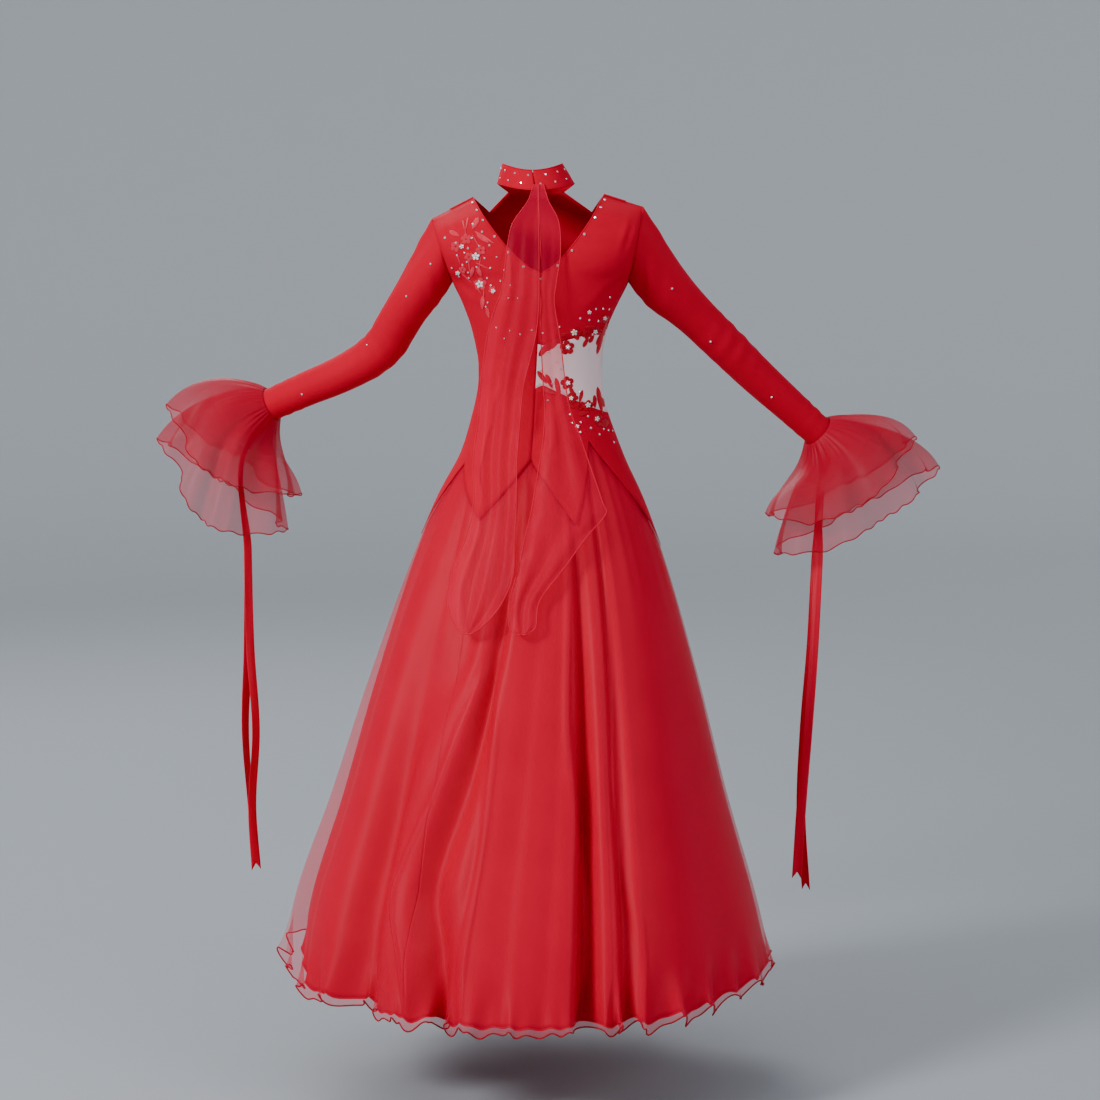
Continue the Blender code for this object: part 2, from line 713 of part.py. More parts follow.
def back_panel(side):
    """Outer grid and inward grid of one half of the back."""
    if side.sign > 0:
        columns = np.arange(0, SIDE_SEAM_LEFT - SKIRT_COLUMNS - 1, -2)
    else:
        columns = np.arange(0, SIDE_SEAM_RIGHT + 1, 2)
    sine = np.sin(yoke_angles(columns)[0]) * side.sign
    spread = np.sign(sine) * np.abs(sine) ** (2 / SQUARENESS_BODY)
    spread = (spread - spread[0]) / (1 - spread[0])
    start = V_TIP_X * side.sign
    width = figure(V_TIP_Z, side.name)
    rows = []
    for share in np.linspace(0, 1, ARMHOLE_ROWS):
        out_x, out_z = armhole_edge(side, share)
        in_x = side.neck[0] + (start - side.neck[0]) * share
        in_z = side.neck[1] + (V_TIP_Z - side.neck[1]) * share
        in_z = in_z - V_SAG * 4 * share * (1 - share)
        x = in_x + (out_x - in_x) * spread
        z = in_z + (out_z - in_z) * spread
        y = chest_depth(side, x, z, share, "back")
        rows.append(np.stack([side.sign * x, y, z], axis=-1))
    reach = np.clip((start + (width - start) * spread) / width, -1, 1)
    start_sine = side.sign * np.sign(reach) * np.abs(reach) ** (SQUARENESS_BODY / 2)
    lower = back_lower(columns, start_sine)
    points = np.array(rows + [row[0] for row in lower])
    inward = grid_inward(points, np.array(TORSO_MIDDLE))
    inward[0] = shoulder_inward(side)
    centre = ring_inward(np.zeros(len(points)), points[:, 0, 2])
    inward[ARMHOLE_ROWS:, 0] = centre[ARMHOLE_ROWS:]
    inward[ARMHOLE_ROWS - 1, 0] = centre[0]
    inward[ARMHOLE_ROWS:, -1] = (-side.sign, 0, 0)
    inward[:ARMHOLE_ROWS, -1] = armhole_loop(side)[1][:ARMHOLE_ROWS]
    inward[-1] = lower[-1][1]
    return points, inward


def shoulder_inward(side):
    """Direction under the shoulder seam, square to it."""
    run = side.tip[0] - side.neck[0]
    drop = side.neck[1] - side.tip[1]
    return unit(np.array([-side.sign * drop, 0, -run]))


def front_top(sides, spread, collar_points):
    """Upper edge of the front: shoulder seams, neckline, and the collar's foot."""
    centre = len(sides) // 2
    neck_share = spread[centre + NECKLINE_CORNER]
    dip_x, dip_z = NECKLINE_DIP
    top = []
    for j, side in enumerate(sides):
        away = abs(j - centre)
        if away >= NECKLINE_CORNER:
            on_seam = (spread[j] - neck_share) / (1 - neck_share)
            x = side.neck[0] + (side.tip[0] - side.neck[0]) * on_seam
            z = side.neck[1] + (side.tip[1] - side.neck[1]) * on_seam
            top.append((side.sign * x, 0, z))
        elif away > COLLAR_HELD:
            y = -chest_depth(side, dip_x, dip_z, NECKLINE_SHARE, "front")
            top.append((side.sign * dip_x, y, dip_z))
        else:
            top.append(tuple(collar_points[j - centre + COLLAR_HELD]))
    return np.array(top)


def front_upper(sides, spread, top):
    """Rows of the front from its upper edge down to the underarm."""
    centre = len(sides) // 2
    bust_z = BODICE_ROWS[0].front
    rows = []
    for share in np.linspace(0, 1, ARMHOLE_ROWS):
        row = []
        for j, side in enumerate(sides):
            start_x = abs(top[j, 0])
            start_z = top[j, 2]
            x = start_x + (spread[j] * side.pit[0] - start_x) * share
            z = start_z + (bust_z + (side.pit[1] - bust_z) * spread[j] - start_z) * share
            if j in (0, len(sides) - 1):
                x, z = armhole_edge(side, share)
            y = -chest_depth(side, x, z, share, "front")
            if abs(j - centre) < NECKLINE_CORNER:
                start_y = -chest_depth(side, start_x, start_z, 0.0, "front")
                y = y + (top[j, 1] - start_y) * (1 - share) ** 2
            row.append((side.sign * x, y, z))
        rows.append(np.array(row))
    return rows


def front_lower(columns):
    """Rows of the front from the underarm down to the zigzag seam."""
    angles, heights = yoke_angles(columns)
    rows = []
    for level in range(1, len(BODICE_ROWS) + YOKE_ROWS):
        z = lower_heights(angles, heights, level, "front")
        points = ring_point(angles, z)
        points[:, 1] -= cup(points[:, 0], z) * np.abs(np.cos(angles))
        rows.append((points, ring_inward(angles, z)))
    return rows


def build_front():
    """The whole front, with its top edge held by the collar."""
    columns = np.arange(SIDE_SEAM_RIGHT, SIDE_SEAM_LEFT + 1, 2)
    centre = len(columns) // 2
    sides = [SIDES[1] if j < centre else SIDES[0] for j in range(len(columns))]
    spread = np.abs(np.sin(yoke_angles(columns)[0])) ** (2 / SQUARENESS_BODY)
    steps = np.arange(-COLLAR_HELD, COLLAR_HELD + 1) * 2
    collar_angles = -math.pi - steps * 2 * math.pi / COLLAR_COLUMNS
    top = front_top(sides, spread, collar_ring(collar_angles, 0.0))
    upper = front_upper(sides, spread, top)
    lower = front_lower(columns)
    points = np.array(upper + [row[0] for row in lower])
    inward = grid_inward(points, np.array(TORSO_MIDDLE))
    for j, side in enumerate(sides):
        away = abs(j - centre)
        if away >= NECKLINE_CORNER:
            inward[0, j] = shoulder_inward(side)
            points[0, j, 1] -= SEAM_GAP / 2
        elif away <= COLLAR_HELD:
            turn = collar_angles[j - centre + COLLAR_HELD]
            inward[0, j] = (-math.sin(turn), -math.cos(turn), 0)
            points[0, j, 2] -= SEAM_GAP / 2
    for j, side in ((0, SIDES[1]), (-1, SIDES[0])):
        loop = armhole_loop(side)[1]
        inward[:ARMHOLE_ROWS, j] = np.concatenate([loop[:1], loop[:ARMHOLE_ROWS - 2:-1]])
        inward[ARMHOLE_ROWS:, j] = (-side.sign, 0, 0)
        points[:ARMHOLE_ROWS, j] -= armhole_axis(side) * SEAM_GAP / 2
        points[ARMHOLE_ROWS - 1:, j, 1] -= SEAM_GAP / 2
    inward[-1] = lower[-1][1]
    points[-1, :, 2] += YOKE_SHIFT
    wall("bodice_front", points, inward, STRETCH, "red_stretch")


def build_back():
    """Two halves of the back, the right one cut by the waist inset."""
    for side in SIDES:
        points, inward = back_panel(side)
        points[0, :, 1] += SEAM_GAP / 2
        points[:ARMHOLE_ROWS, -1] -= armhole_axis(side) * SEAM_GAP / 2
        points[ARMHOLE_ROWS - 1:, -1, 1] += SEAM_GAP / 2
        points[ARMHOLE_ROWS - 1:, 0, 0] += side.sign * SEAM_GAP / 2
        points[-1, :, 2] += YOKE_SHIFT
        if side.sign > 0:
            wall("bodice_back_left", points, inward, STRETCH, "red_stretch")
            continue
        first = ARMHOLE_ROWS - 1
        cuts = (0, first + INSET_TOP, first + INSET_BOTTOM, len(points) - 1)
        parts = (
            ("bodice_back_right_upper", "red_stretch"),
            ("waist_inset", "nude_mesh"),
            ("bodice_back_right_lower", "red_stretch"),
        )
        for number, (name, finish) in enumerate(parts):
            start, stop = cuts[number], cuts[number + 1]
            part = points[start:stop + 1].copy()
            if number > 0:
                part[0, :, 2] -= INSET_SHIFT
            if number < len(parts) - 1:
                part[-1, :, 2] += INSET_SHIFT
            wall(name, part, inward[start:stop + 1], STRETCH, finish)


# Sleeves

def sleeve_path(side):
    """Middles and radii along a sleeve, from the armhole to the wrist."""
    loop = armhole_loop(side)[0]
    stations = ARMS[side.name]
    centres = [loop.mean(axis=0)]
    centres.extend(np.array([arm.x, arm.y, arm.z]) for arm in stations)
    centres = np.array(centres)
    radii = np.array([SLEEVE_START_RADIUS] + [arm.radius for arm in stations])
    lengths = np.concatenate([[0], np.cumsum(np.linalg.norm(np.diff(centres, axis=0), axis=1))])
    at = np.linspace(0, lengths[-1], SLEEVE_STEPS + 1)
    return smooth(at, lengths, centres), smooth(at, lengths, radii)


def sleeve_rings(side):
    """Outer rings of a sleeve, with their inward directions and the last ring's frame."""
    loop, loop_inward = armhole_loop(side)
    centres, radii = sleeve_path(side)
    tangents = unit(np.gradient(centres, axis=0))
    upright = unit(loop[0] - loop[ARMHOLE_ROWS - 1])
    turn = np.linspace(0, 2 * math.pi, len(loop), endpoint=False)
    rings = []
    inward = []
    for k, (centre, tangent, radius) in enumerate(zip(centres, tangents, radii)):
        top = unit(upright - tangent * np.dot(upright, tangent))
        back = np.cross(tangent, top) * -side.sign
        if back[1] < 0:
            back = -back
        around = np.outer(np.cos(turn), top) + np.outer(np.sin(turn), back)
        ring = centre + radius * around
        share = min(1.0, k / SLEEVE_BLEND)
        share = share * share * (3 - 2 * share)
        carried = loop + (centre - centres[0])
        rings.append(carried * (1 - share) + ring * share)
        inward.append(unit(loop_inward * (1 - share) - around * share))
    return np.array(rings), np.array(inward), (centres[-1], tangents[-1], top, back, radii[-1])


def build_sleeves():
    """Two long sleeves, open at both ends."""
    for side in SIDES:
        rings, inward, _ = sleeve_rings(side)
        rings[0] += armhole_axis(side) * SEAM_GAP / 2
        wall("sleeve_" + side.name, rings, inward, STRETCH, "red_stretch", closed=True)


# Cuffs

def periodic(angle, table, name):
    """Smooth closed curve through a table that goes once round."""
    at = column_of(table, "angle")
    values = column_of(table, name)
    at = np.concatenate([at - 360, at, at + 360])
    return smooth(np.degrees(angle), at, np.tile(values, 3))


def ring_grid_inward(grid, towards):
    """Inward directions of a grid that closes on itself across its columns."""
    wrapped = np.concatenate([grid[:, -1:], grid, grid[:, :1]], axis=1)
    return grid_inward(wrapped, towards)[:, 1:-1]


def cuff_grid(side, layer):
    """Outer points and inward directions of a cuff flounce, from the wrist to the hem."""
    centre, tangent, top, back, radius = sleeve_rings(side)[2]
    depth = 1 if layer == "inner" else 2
    ring_radius = radius + depth * (SEAM_GAP + ORGANZA)
    turn = np.linspace(0, 2 * math.pi, CUFF_COLUMNS, endpoint=False)
    radial = np.outer(np.cos(turn), top) + np.outer(np.sin(turn), back)
    start = centre - tangent * CUFF_OVERLAP + radial * ring_radius
    table = CUFFS[(side.name, layer)]
    hem = np.stack([
        side.sign * periodic(turn, table, "out"),
        periodic(turn, table, "back"),
        periodic(turn, table, "up"),
    ], axis=-1) + centre
    reach = np.linalg.norm(hem - start, axis=1)[:, None]
    leave = start + unit(CUFF_SPREAD[layer] * radial + tangent) * reach * CUFF_SPRING[layer]
    arrive = hem + unit(start - hem) * reach * CUFF_ARRIVE_BACK
    arrive[:, 2] += CUFF_ARRIVE_UP * reach[:, 0]
    v = np.array(CUFF_ROWS)[:, None, None]
    grid = (1 - v) ** 3 * start + 3 * v * (1 - v) ** 2 * leave
    grid = grid + 3 * v * v * (1 - v) * arrive + v ** 3 * hem
    middle = centre + tangent * CUFF_MIDDLE - np.array([0, 0, CUFF_MIDDLE])
    wave = np.sin(CUFF_WAVES * turn)[None, :, None] * CUFF_WAVE
    grid = grid - ring_grid_inward(grid, middle) * wave * v ** 2
    inward = ring_grid_inward(grid, middle)
    inward[0] = -radial
    return grid, inward


def build_cuffs():
    """Two gathered flounces at each wrist, the longer one beneath."""
    for side in SIDES:
        for layer in ("inner", "outer"):
            grid, inward = cuff_grid(side, layer)
            name = "cuff_" + side.name + "_" + layer
            wall(name, grid, inward, ORGANZA, "red_organza", closed=True)


# Skirt

def fold_at(columns):
    """Hem angle in radians and fold depth at some columns, with rounded ridges."""
    at = column_of(FOLDS, "column")
    angle = np.interp(columns, at, column_of(FOLDS, "hem_angle"))
    depth = column_of(FOLDS, "depth")
    left = np.clip(np.searchsorted(at, columns, side="right") - 1, 0, len(at) - 2)
    t = (columns - at[left]) / (at[left + 1] - at[left])
    ease = (1 - np.cos(math.pi * t)) / 2
    return np.radians(angle), depth[left] + (depth[left + 1] - depth[left]) * ease


def skirt_row(columns, v, layer):
    """One row of a skirt layer, a share v of the way from the zigzag seam to the hem."""
    seam_angle, seam_z = yoke_angles(columns)
    hem_angle, depth = fold_at(columns)
    turn = 2 * math.pi * (columns - YOKE[0].column) / SKIRT_COLUMNS
    hem_z = HEM_Z - HEM_BACK_DROP * np.clip(np.cos(hem_angle), 0, 1)
    angle = seam_angle + (hem_angle - seam_angle) * v
    z = seam_z + (hem_z - seam_z) * v
    points = ring_point(angle, z)
    fold = depth * v ** FOLD_GROWTH
    inset = 0.0
    near_hem = np.clip((v - HEM_WAVE_START) / (1 - HEM_WAVE_START), 0, 1) ** HEM_WAVE_POWER
    wave = OUTER_WAVE * np.sin(OUTER_WAVES * turn) * near_hem
    if layer == "under":
        fold = fold * UNDER_FOLD
        inset = ORGANZA + SEAM_GAP + UNDER_INSET * v
        wave = UNDER_WAVE * np.sin(UNDER_WAVES * turn) * near_hem
    radius = np.linalg.norm(points[:, :2], axis=1)
    points[:, :2] *= ((radius - fold - inset + wave) / radius)[:, None]
    return points


def skirt_layer(layer):
    """Rows of columns, outer points and inward directions of a whole skirt layer."""
    fine = 1 if layer == "outer" else 2
    rows = list(SKIRT_ROWS if layer == "outer" else UNDER_ROWS)
    last = HEM_ROW if layer == "outer" else UNDER_HEM
    levels = [(v, fine) for v in rows]
    levels.append(((rows[-1] + last) / 2, fine / 2))
    levels.append((last, fine / 2))
    grids = []
    for v, step in levels:
        columns = np.arange(YOKE[0].column, YOKE[-1].column + step / 2, step)
        if v == 0:
            points, inward = yoke_points(columns)
            if layer == "under":
                points = points + inward * (ORGANZA + SEAM_GAP)
            grids.append((columns, points, inward))
            continue
        points = skirt_row(columns, v, layer)
        before = skirt_row(columns, v - ROW_STEP, layer)
        across = np.gradient(points, axis=0)
        across[0] = across[-1] = (points[1] - points[-2]) / 2
        inward = unit(np.cross(across, points - before))
        facing = np.sum(inward * -points * np.array([1, 1, 0]), axis=1).mean()
        grids.append((columns, points, inward if facing > 0 else -inward))
    return grids


def build_skirt():
    """Organza godets over satin ones, each in six gores."""
    layers = (("outer", ORGANZA, "red_organza"), ("under", SATIN, "red_satin"))
    for layer, thickness, finish in layers:
        grids = skirt_layer(layer)
        for name, first, last in zip(GORE_NAMES, GORE_SEAMS, GORE_SEAMS[1:]):
            points_rows = []
            inward_rows = []
            for number, (columns, points, inward) in enumerate(grids):
                chosen = (columns >= first - COLUMN_SLACK) & (columns <= last + COLUMN_SLACK)
                part = points[chosen].copy()
                part_inward = inward[chosen]
                for end, other in ((0, 1), (-1, -2)):
                    along = part[other] - part[end]
                    flat = along - part_inward[end] * np.dot(along, part_inward[end])
                    part[end] += seam_step(grids, number, first if end == 0 else last, flat)
                if number == 0:
                    part[:, 2] -= YOKE_SHIFT
                points_rows.append(part)
                inward_rows.append(part_inward)
            wall("skirt_" + layer + "_" + name, points_rows, inward_rows, thickness, finish)


def seam_step(grids, number, column, towards):
    """Half a seam gap across the seam between two gores, on the side given."""
    columns, points, _ = grids[number]
    here = int(np.argmin(np.abs(columns - column)))
    after = points[here + 1] if here + 1 < len(points) else points[1]
    before = points[here - 1] if here > 0 else points[-2]
    across = after - before
    across = across / np.linalg.norm(across)
    sign = 1 if np.dot(across, towards) > 0 else -1
    return sign * across * SEAM_GAP / 2


# Floats

def drape_point(x, z):
    """Place of a float at x and z: on the collar at the top, then clear of the back."""
    depth = smooth(z, column_of(DRAPE, "z"), column_of(DRAPE, "depth"))
    half = smooth(z, column_of(DRAPE, "z"), column_of(DRAPE, "half_width"))
    share = np.clip(np.abs(x) / half, 0, FLOAT_REACH) ** SQUARENESS_BODY
    hanging = depth * (1 - share) ** (1 / SQUARENESS_BODY)
    rise = np.clip((z - COLLAR_BACK_Z) / COLLAR_HEIGHT, 0, 1)
    middle = COLLAR_BOTTOM_X + (COLLAR_TOP_X - COLLAR_BOTTOM_X) * rise
    half_x = COLLAR_BOTTOM[0] + (COLLAR_TOP[0] - COLLAR_BOTTOM[0]) * rise
    half_y = COLLAR_BOTTOM[1] + (COLLAR_TOP[1] - COLLAR_BOTTOM[1]) * rise
    collar = half_y * np.sqrt(1 - np.clip((x - middle) / half_x, -COLLAR_REACH, COLLAR_REACH) ** 2)
    collar = collar + ORGANZA + 2 * SEAM_GAP
    on_collar = np.clip((z - FLOAT_HOLD_Z) / FLOAT_HOLD_HEIGHT, 0, 1)
    return hanging * (1 - on_collar) + collar * on_collar


def float_grid(name):
    """Outer points of one float: straight across between its two edges, then folded."""
    table = FLOATS[name]
    z = column_of(table, "z")
    share = np.linspace(0, 1, FLOAT_COLUMNS + 1)
    left = column_of(table, "left")[:, None]
    right = column_of(table, "right")[:, None]
    x = left + (right - left) * share
    z = z[:, None] + 0 * x
    y = drape_point(x, z)
    down = np.clip(-z / FLOAT_FOLD_LENGTH, 0, 1)
    width = np.clip((left - right) / FLOAT_FOLD_WIDTH, 0, 1)
    fold = FLOAT_FOLD * down * width * (1 - np.cos(2 * math.pi * FLOAT_WAVES[name] * share)) / 2
    return np.stack([x, y + fold, z], axis=-1)


def build_floats():
    """Two floats of organza sewn to the middle of the collar."""
    for name in FLOATS:
        points = float_grid(name)
        inward = grid_inward(points, np.array(TORSO_MIDDLE))
        inward[:2] = (0, -1, 0)
        wall("float_" + name, points, inward, ORGANZA, "red_organza")


# Ribbons

def running_lengths(points):
    """Distance along a row of points, up to each of them."""
    steps = np.linalg.norm(np.diff(points, axis=0), axis=1)
    return np.concatenate([[0], np.cumsum(steps)])


def ribbon_path(side, strand, lean):
    """Middle line of a ribbon and the direction of its width, point by point."""
    centre, tangent, top, back, radius = sleeve_rings(side)[2]
    inside = radius - STRETCH - SEAM_GAP - SATIN
    away = -top * math.cos(lean) + back * math.sin(lean)
    width = top * math.sin(lean) + back * math.cos(lean)
    path = []
    widths = []
    for row in RIBBON_STARTS:
        down = np.array([0, 0, row.drop])
        path.append(centre + tangent * row.along + away * inside * row.share - down)
        widths.append(width)
    for row in RIBBONS[(side.name, strand)]:
        turn = math.radians(row.turn)
        path.append(centre + np.array([side.sign * row.out, row.back, -row.drop]))
        widths.append(np.array([side.sign * math.sin(turn), math.cos(turn), 0]))
    return np.array(path), np.array(widths)


def build_ribbons():
    """Satin ribbons from inside the sleeve ends, cut in a swallow tail."""
    first = len(RIBBON_STARTS)
    for side in SIDES:
        for strand, place in (("front", -1), ("back", 1)):
            path, widths = ribbon_path(side, strand, RIBBON_LEAN * place)
            lengths = running_lengths(path)
            hanging = np.linspace(lengths[first], lengths[-1], RIBBON_STEPS)
            at = np.concatenate([lengths[:first], hanging])
            middle = smooth(at, lengths, path)
            across = unit(smooth(at, lengths, widths))
            along = unit(np.gradient(middle, axis=0))
            across = unit(across - along * np.sum(across * along, axis=1)[:, None])
            half = across * RIBBON_WIDTH / 2
            grid = np.stack([middle - half, middle, middle + half], axis=1)
            grid[-1, 1] -= along[-1] * RIBBON_NOTCH
            inward = np.repeat(unit(np.cross(along, across))[:, None], 3, axis=1)
            grid = grid - inward * SATIN / 2
            wall("ribbon_" + side.name + "_" + strand, grid, inward, SATIN, "red_satin")


# Raised lace

def back_surface(trees, x, z):
    """Depth of the built back at x and z, found by looking at it from behind."""
    places = []
    for across, up in zip(x.ravel(), z.ravel()):
        hits = [tree.ray_cast((across, RAY_START, up), (0, -1, 0))[0] for tree in trees]
        places.append(max(hit.y for hit in hits if hit))
    return np.array(places).reshape(x.shape)


def build_sprays():
    """Leafy sprays of raised lace, a little off the cloth they are sewn to."""
    bpy.context.view_layer.update()
    graph = bpy.context.evaluated_depsgraph_get()
    trees = [BVHTree.FromObject(bpy.data.objects[piece], graph) for piece in BACK_PIECES]
    for name, table in SPRAYS.items():
        spine = np.stack([column_of(table, "x"), column_of(table, "z")], axis=-1)
        lengths = running_lengths(spine)
        at = np.linspace(0, lengths[-1], SPRAY_STEPS + 1)
        middle = smooth(at, lengths, spine)
        half = smooth(at, lengths, column_of(table, "half_width"))
        along = unit(np.gradient(middle, axis=0))
        across = np.stack([-along[:, 1], along[:, 0]], axis=-1)
        leaf = at / lengths[-1] * SPRAY_LEAVES
        upper = half * (SPRAY_STEM + (1 - SPRAY_STEM) * np.abs(np.sin(math.pi * leaf)))
        lower = half * (SPRAY_STEM + (1 - SPRAY_STEM) * np.abs(np.cos(math.pi * leaf)))
        flat = np.stack([
            middle + across * upper[:, None],
            middle + across * upper[:, None] / 2,
            middle,
            middle - across * lower[:, None] / 2,
            middle - across * lower[:, None],
        ], axis=1)
        x = flat[..., 0]
        z = flat[..., 1]
        points = np.stack([x, back_surface(trees, x, z), z], axis=-1)
        inward = grid_inward(points, np.array(TORSO_MIDDLE))
        points = points - inward * (SPRAY_LIFT + LACE)
        wall(name, points, inward, LACE, "red_lace")


def main():
    """Clear the scene and build every piece."""
    for old in list(bpy.data.objects):
        bpy.data.objects.remove(old, do_unlink=True)
    build_collar()
    build_front()
    build_back()
    build_sleeves()
    build_cuffs()
    build_skirt()
    build_floats()
    build_ribbons()
    build_sprays()


main()
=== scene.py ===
"""Red ballroom dance dress: its cloth, lace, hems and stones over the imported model.

Metres, +Z up. The dress front faces -Y and its back +Y. +X is the dress's own left.
Each cloth is a surface worked out from the same sizes as its solid, in finer steps.
"""
import logging
import math
from dataclasses import dataclass, field
from enum import Enum

import bmesh
import bpy
import numpy as np
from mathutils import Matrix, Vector
from mathutils.bvhtree import BVHTree


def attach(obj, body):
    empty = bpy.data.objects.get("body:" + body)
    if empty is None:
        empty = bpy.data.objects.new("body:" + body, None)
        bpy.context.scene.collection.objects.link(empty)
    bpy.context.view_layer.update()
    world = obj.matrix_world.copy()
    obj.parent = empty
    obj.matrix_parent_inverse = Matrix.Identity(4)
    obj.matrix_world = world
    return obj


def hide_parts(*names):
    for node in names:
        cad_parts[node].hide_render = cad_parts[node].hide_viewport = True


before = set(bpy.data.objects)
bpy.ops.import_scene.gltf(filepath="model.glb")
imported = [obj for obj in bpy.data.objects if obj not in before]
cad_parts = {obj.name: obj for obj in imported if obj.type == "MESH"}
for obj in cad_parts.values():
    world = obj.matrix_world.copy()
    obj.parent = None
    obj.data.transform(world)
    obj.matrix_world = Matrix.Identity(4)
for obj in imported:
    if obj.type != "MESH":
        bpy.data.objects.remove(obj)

Array = np.ndarray
Piece = bpy.types.Object
Material = bpy.types.Material
Tree = bpy.types.NodeTree
Socket = bpy.types.NodeSocket
LOG = logging.getLogger("dress")
BODY = "root"
MM = 0.001


# Shapes worked out as whole arrays

def unit(vectors: Array) -> Array:
    """Vectors scaled to length one, along the last axis."""
    return vectors / np.maximum(np.linalg.norm(vectors, axis=-1, keepdims=True), 1e-12)


def smooth(at: Array, knots: Array, values: Array) -> Array:
    """Cubic curve through knots, its slope at each knot the mean of both sides.

    Args:
        at: places to read the curve.
        knots: rising or falling places of the values.
        values: one value, or one row of values, for each knot.

    Returns:
        The curve's value at each place.
    """
    knots = np.asarray(knots, float)
    values = np.asarray(values, float)
    if knots[0] > knots[-1]:
        knots = knots[::-1]
        values = values[::-1]
    at = np.clip(np.asarray(at, float), knots[0], knots[-1])
    slopes = np.gradient(values, knots, axis=0)
    right = np.clip(np.searchsorted(knots, at, side="right"), 1, len(knots) - 1)
    left = right - 1
    span = knots[right] - knots[left]
    t = (at - knots[left]) / span
    if values.ndim > 1:
        span = span[..., None]
        t = t[..., None]
    start = (1 + 2 * t) * (1 - t) ** 2 * values[left] + t * (1 - t) ** 2 * span * slopes[left]
    end = t * t * (3 - 2 * t) * values[right] + t * t * (t - 1) * span * slopes[right]
    return start + end


def refine_rows(grid: Array, steps: int) -> Array:
    """A grid with cubic rows put between its own, steps of them to each row."""
    count = len(grid)
    at = np.linspace(0, count - 1, (count - 1) * steps + 1)
    fine = smooth(at, np.arange(count), grid.reshape(count, -1))
    return fine.reshape(len(at), *grid.shape[1:])


def refine_across(grid: Array, steps: int, straight: bool = False) -> Array:
    """A grid with columns put between its own, cubic ones or straight ones."""
    turned = np.swapaxes(grid, 0, 1)
    if not straight:
        return np.swapaxes(refine_rows(turned, steps), 0, 1)
    count = len(turned)
    at = np.linspace(0, count - 1, (count - 1) * steps + 1)
    low = np.minimum(at.astype(int), count - 2)
    share = (at - low)[:, None, None]
    return np.swapaxes(turned[low] * (1 - share) + turned[low + 1] * share, 0, 1)


def refine_ring(grid: Array, steps: int) -> Array:
    """A grid that closes on itself across, with cubic columns put between its own."""
    pad = 3
    wide = np.concatenate([grid[:, -pad:], grid, grid[:, :pad]], axis=1)
    fine = refine_across(wide, steps)
    return fine[:, pad * steps:pad * steps + grid.shape[1] * steps]


def grid_normals(points: Array, closed: bool, middle: Array) -> Array:
    """Normals of a grid of points, turned away from the middle.

    Args:
        points: rows by columns by three.
        closed: whether the last column joins the first.
        middle: a place inside the cloth.

    Returns:
        One normal for each point: the cross product of both slopes.
    """
    wide = points
    if closed:
        wide = np.concatenate([points[:, -1:], points, points[:, :1]], axis=1)
    normals = unit(np.cross(np.gradient(wide, axis=0), np.gradient(wide, axis=1)))
    if closed:
        normals = normals[:, 1:-1]
    facing = np.sum(normals * (points - middle), axis=-1).mean()
    return normals if facing > 0 else -normals


def ripple(at: Array, waves: float, seed: float) -> Array:
    """Uneven waves between -1 and 1: three sines whose lengths share no period."""
    first = np.sin(at * waves + seed)
    second = np.sin(at * waves * 1.618 + seed * 2.3)
    third = np.sin(at * waves * 0.577 + seed * 5.1)
    return (first + 0.7 * second + 0.8 * third) / 2.5


def wandering(turn: Array, waves: float, bend: float, slow: float, start: float = 0.0) -> Array:
    """Waves round a ring, whose spacing wanders: a sine of the angle plus a slow sine."""
    return np.sin(waves * turn + bend * np.sin(slow * turn + start))


def run_along(points: Array) -> Array:
    """Distance from the first point to each one, along the line through them."""
    return np.concatenate([[0], np.cumsum(np.linalg.norm(np.diff(points, axis=0), axis=1))])


def eased(share: Array | float) -> Array | float:
    """A share from 0 to 1 that starts and ends slowly: three squares less two cubes."""
    return share * share * (3 - 2 * share)


def hump(at: Array, middle: float, width: float) -> Array:
    """A soft hump of height one, the bell curve of the distance over the width."""
    return np.exp(-((at - middle) / width) ** 2)


@dataclass(frozen=True)
class Table:
    """Sizes in rows, with named columns."""

    names: str
    rows: tuple[tuple[float, ...], ...]

    def column(self, name: str) -> Array:
        """One named column."""
        place = self.names.split().index(name)
        return np.array([row[place] for row in self.rows], float)

    def curve(self, at: Array, knots: str, name: str) -> Array:
        """Cubic curve of one column over another."""
        return smooth(at, self.column(knots), self.column(name))

    def line(self, at: Array, knots: str, name: str) -> Array:
        """Straight lines of one column over another."""
        return np.interp(at, self.column(knots), self.column(name))


def named(**values: object) -> object:
    """A dataclass field that holds values by name."""
    return field(default_factory=lambda: dict(values))


# Finishes

def linear(code: str) -> tuple[float, float, float, float]:
    """A colour written as six sRGB hex digits, turned to linear values."""
    parts = [int(code[i:i + 2], 16) / 255 for i in (0, 2, 4)]
    parts = [p / 12.92 if p <= 0.04045 else ((p + 0.055) / 1.055) ** 2.4 for p in parts]
    return (*parts, 1.0)


def node(tree: Tree, kind: str, links: dict | None = None,
         **settings: object) -> bpy.types.Node:
    """Add one shader node.

    Args:
        tree: the material's node tree.
        kind: the node's type.
        links: for each input, a plain value or the output socket that feeds it.
        settings: the node's own properties.

    Returns:
        The new node.
    """
    made = tree.nodes.new(kind)
    for name, value in settings.items():
        setattr(made, name, value)
    for name, value in (links or {}).items():
        if isinstance(value, Socket):
            tree.links.new(value, made.inputs[name])
        else:
            made.inputs[name].default_value = value
    return made


def fresh_material(name: str) -> Material:
    """A new material with an empty node tree."""
    made = bpy.data.materials.new(name)
    made.use_nodes = True
    made.node_tree.nodes.clear()
    return made


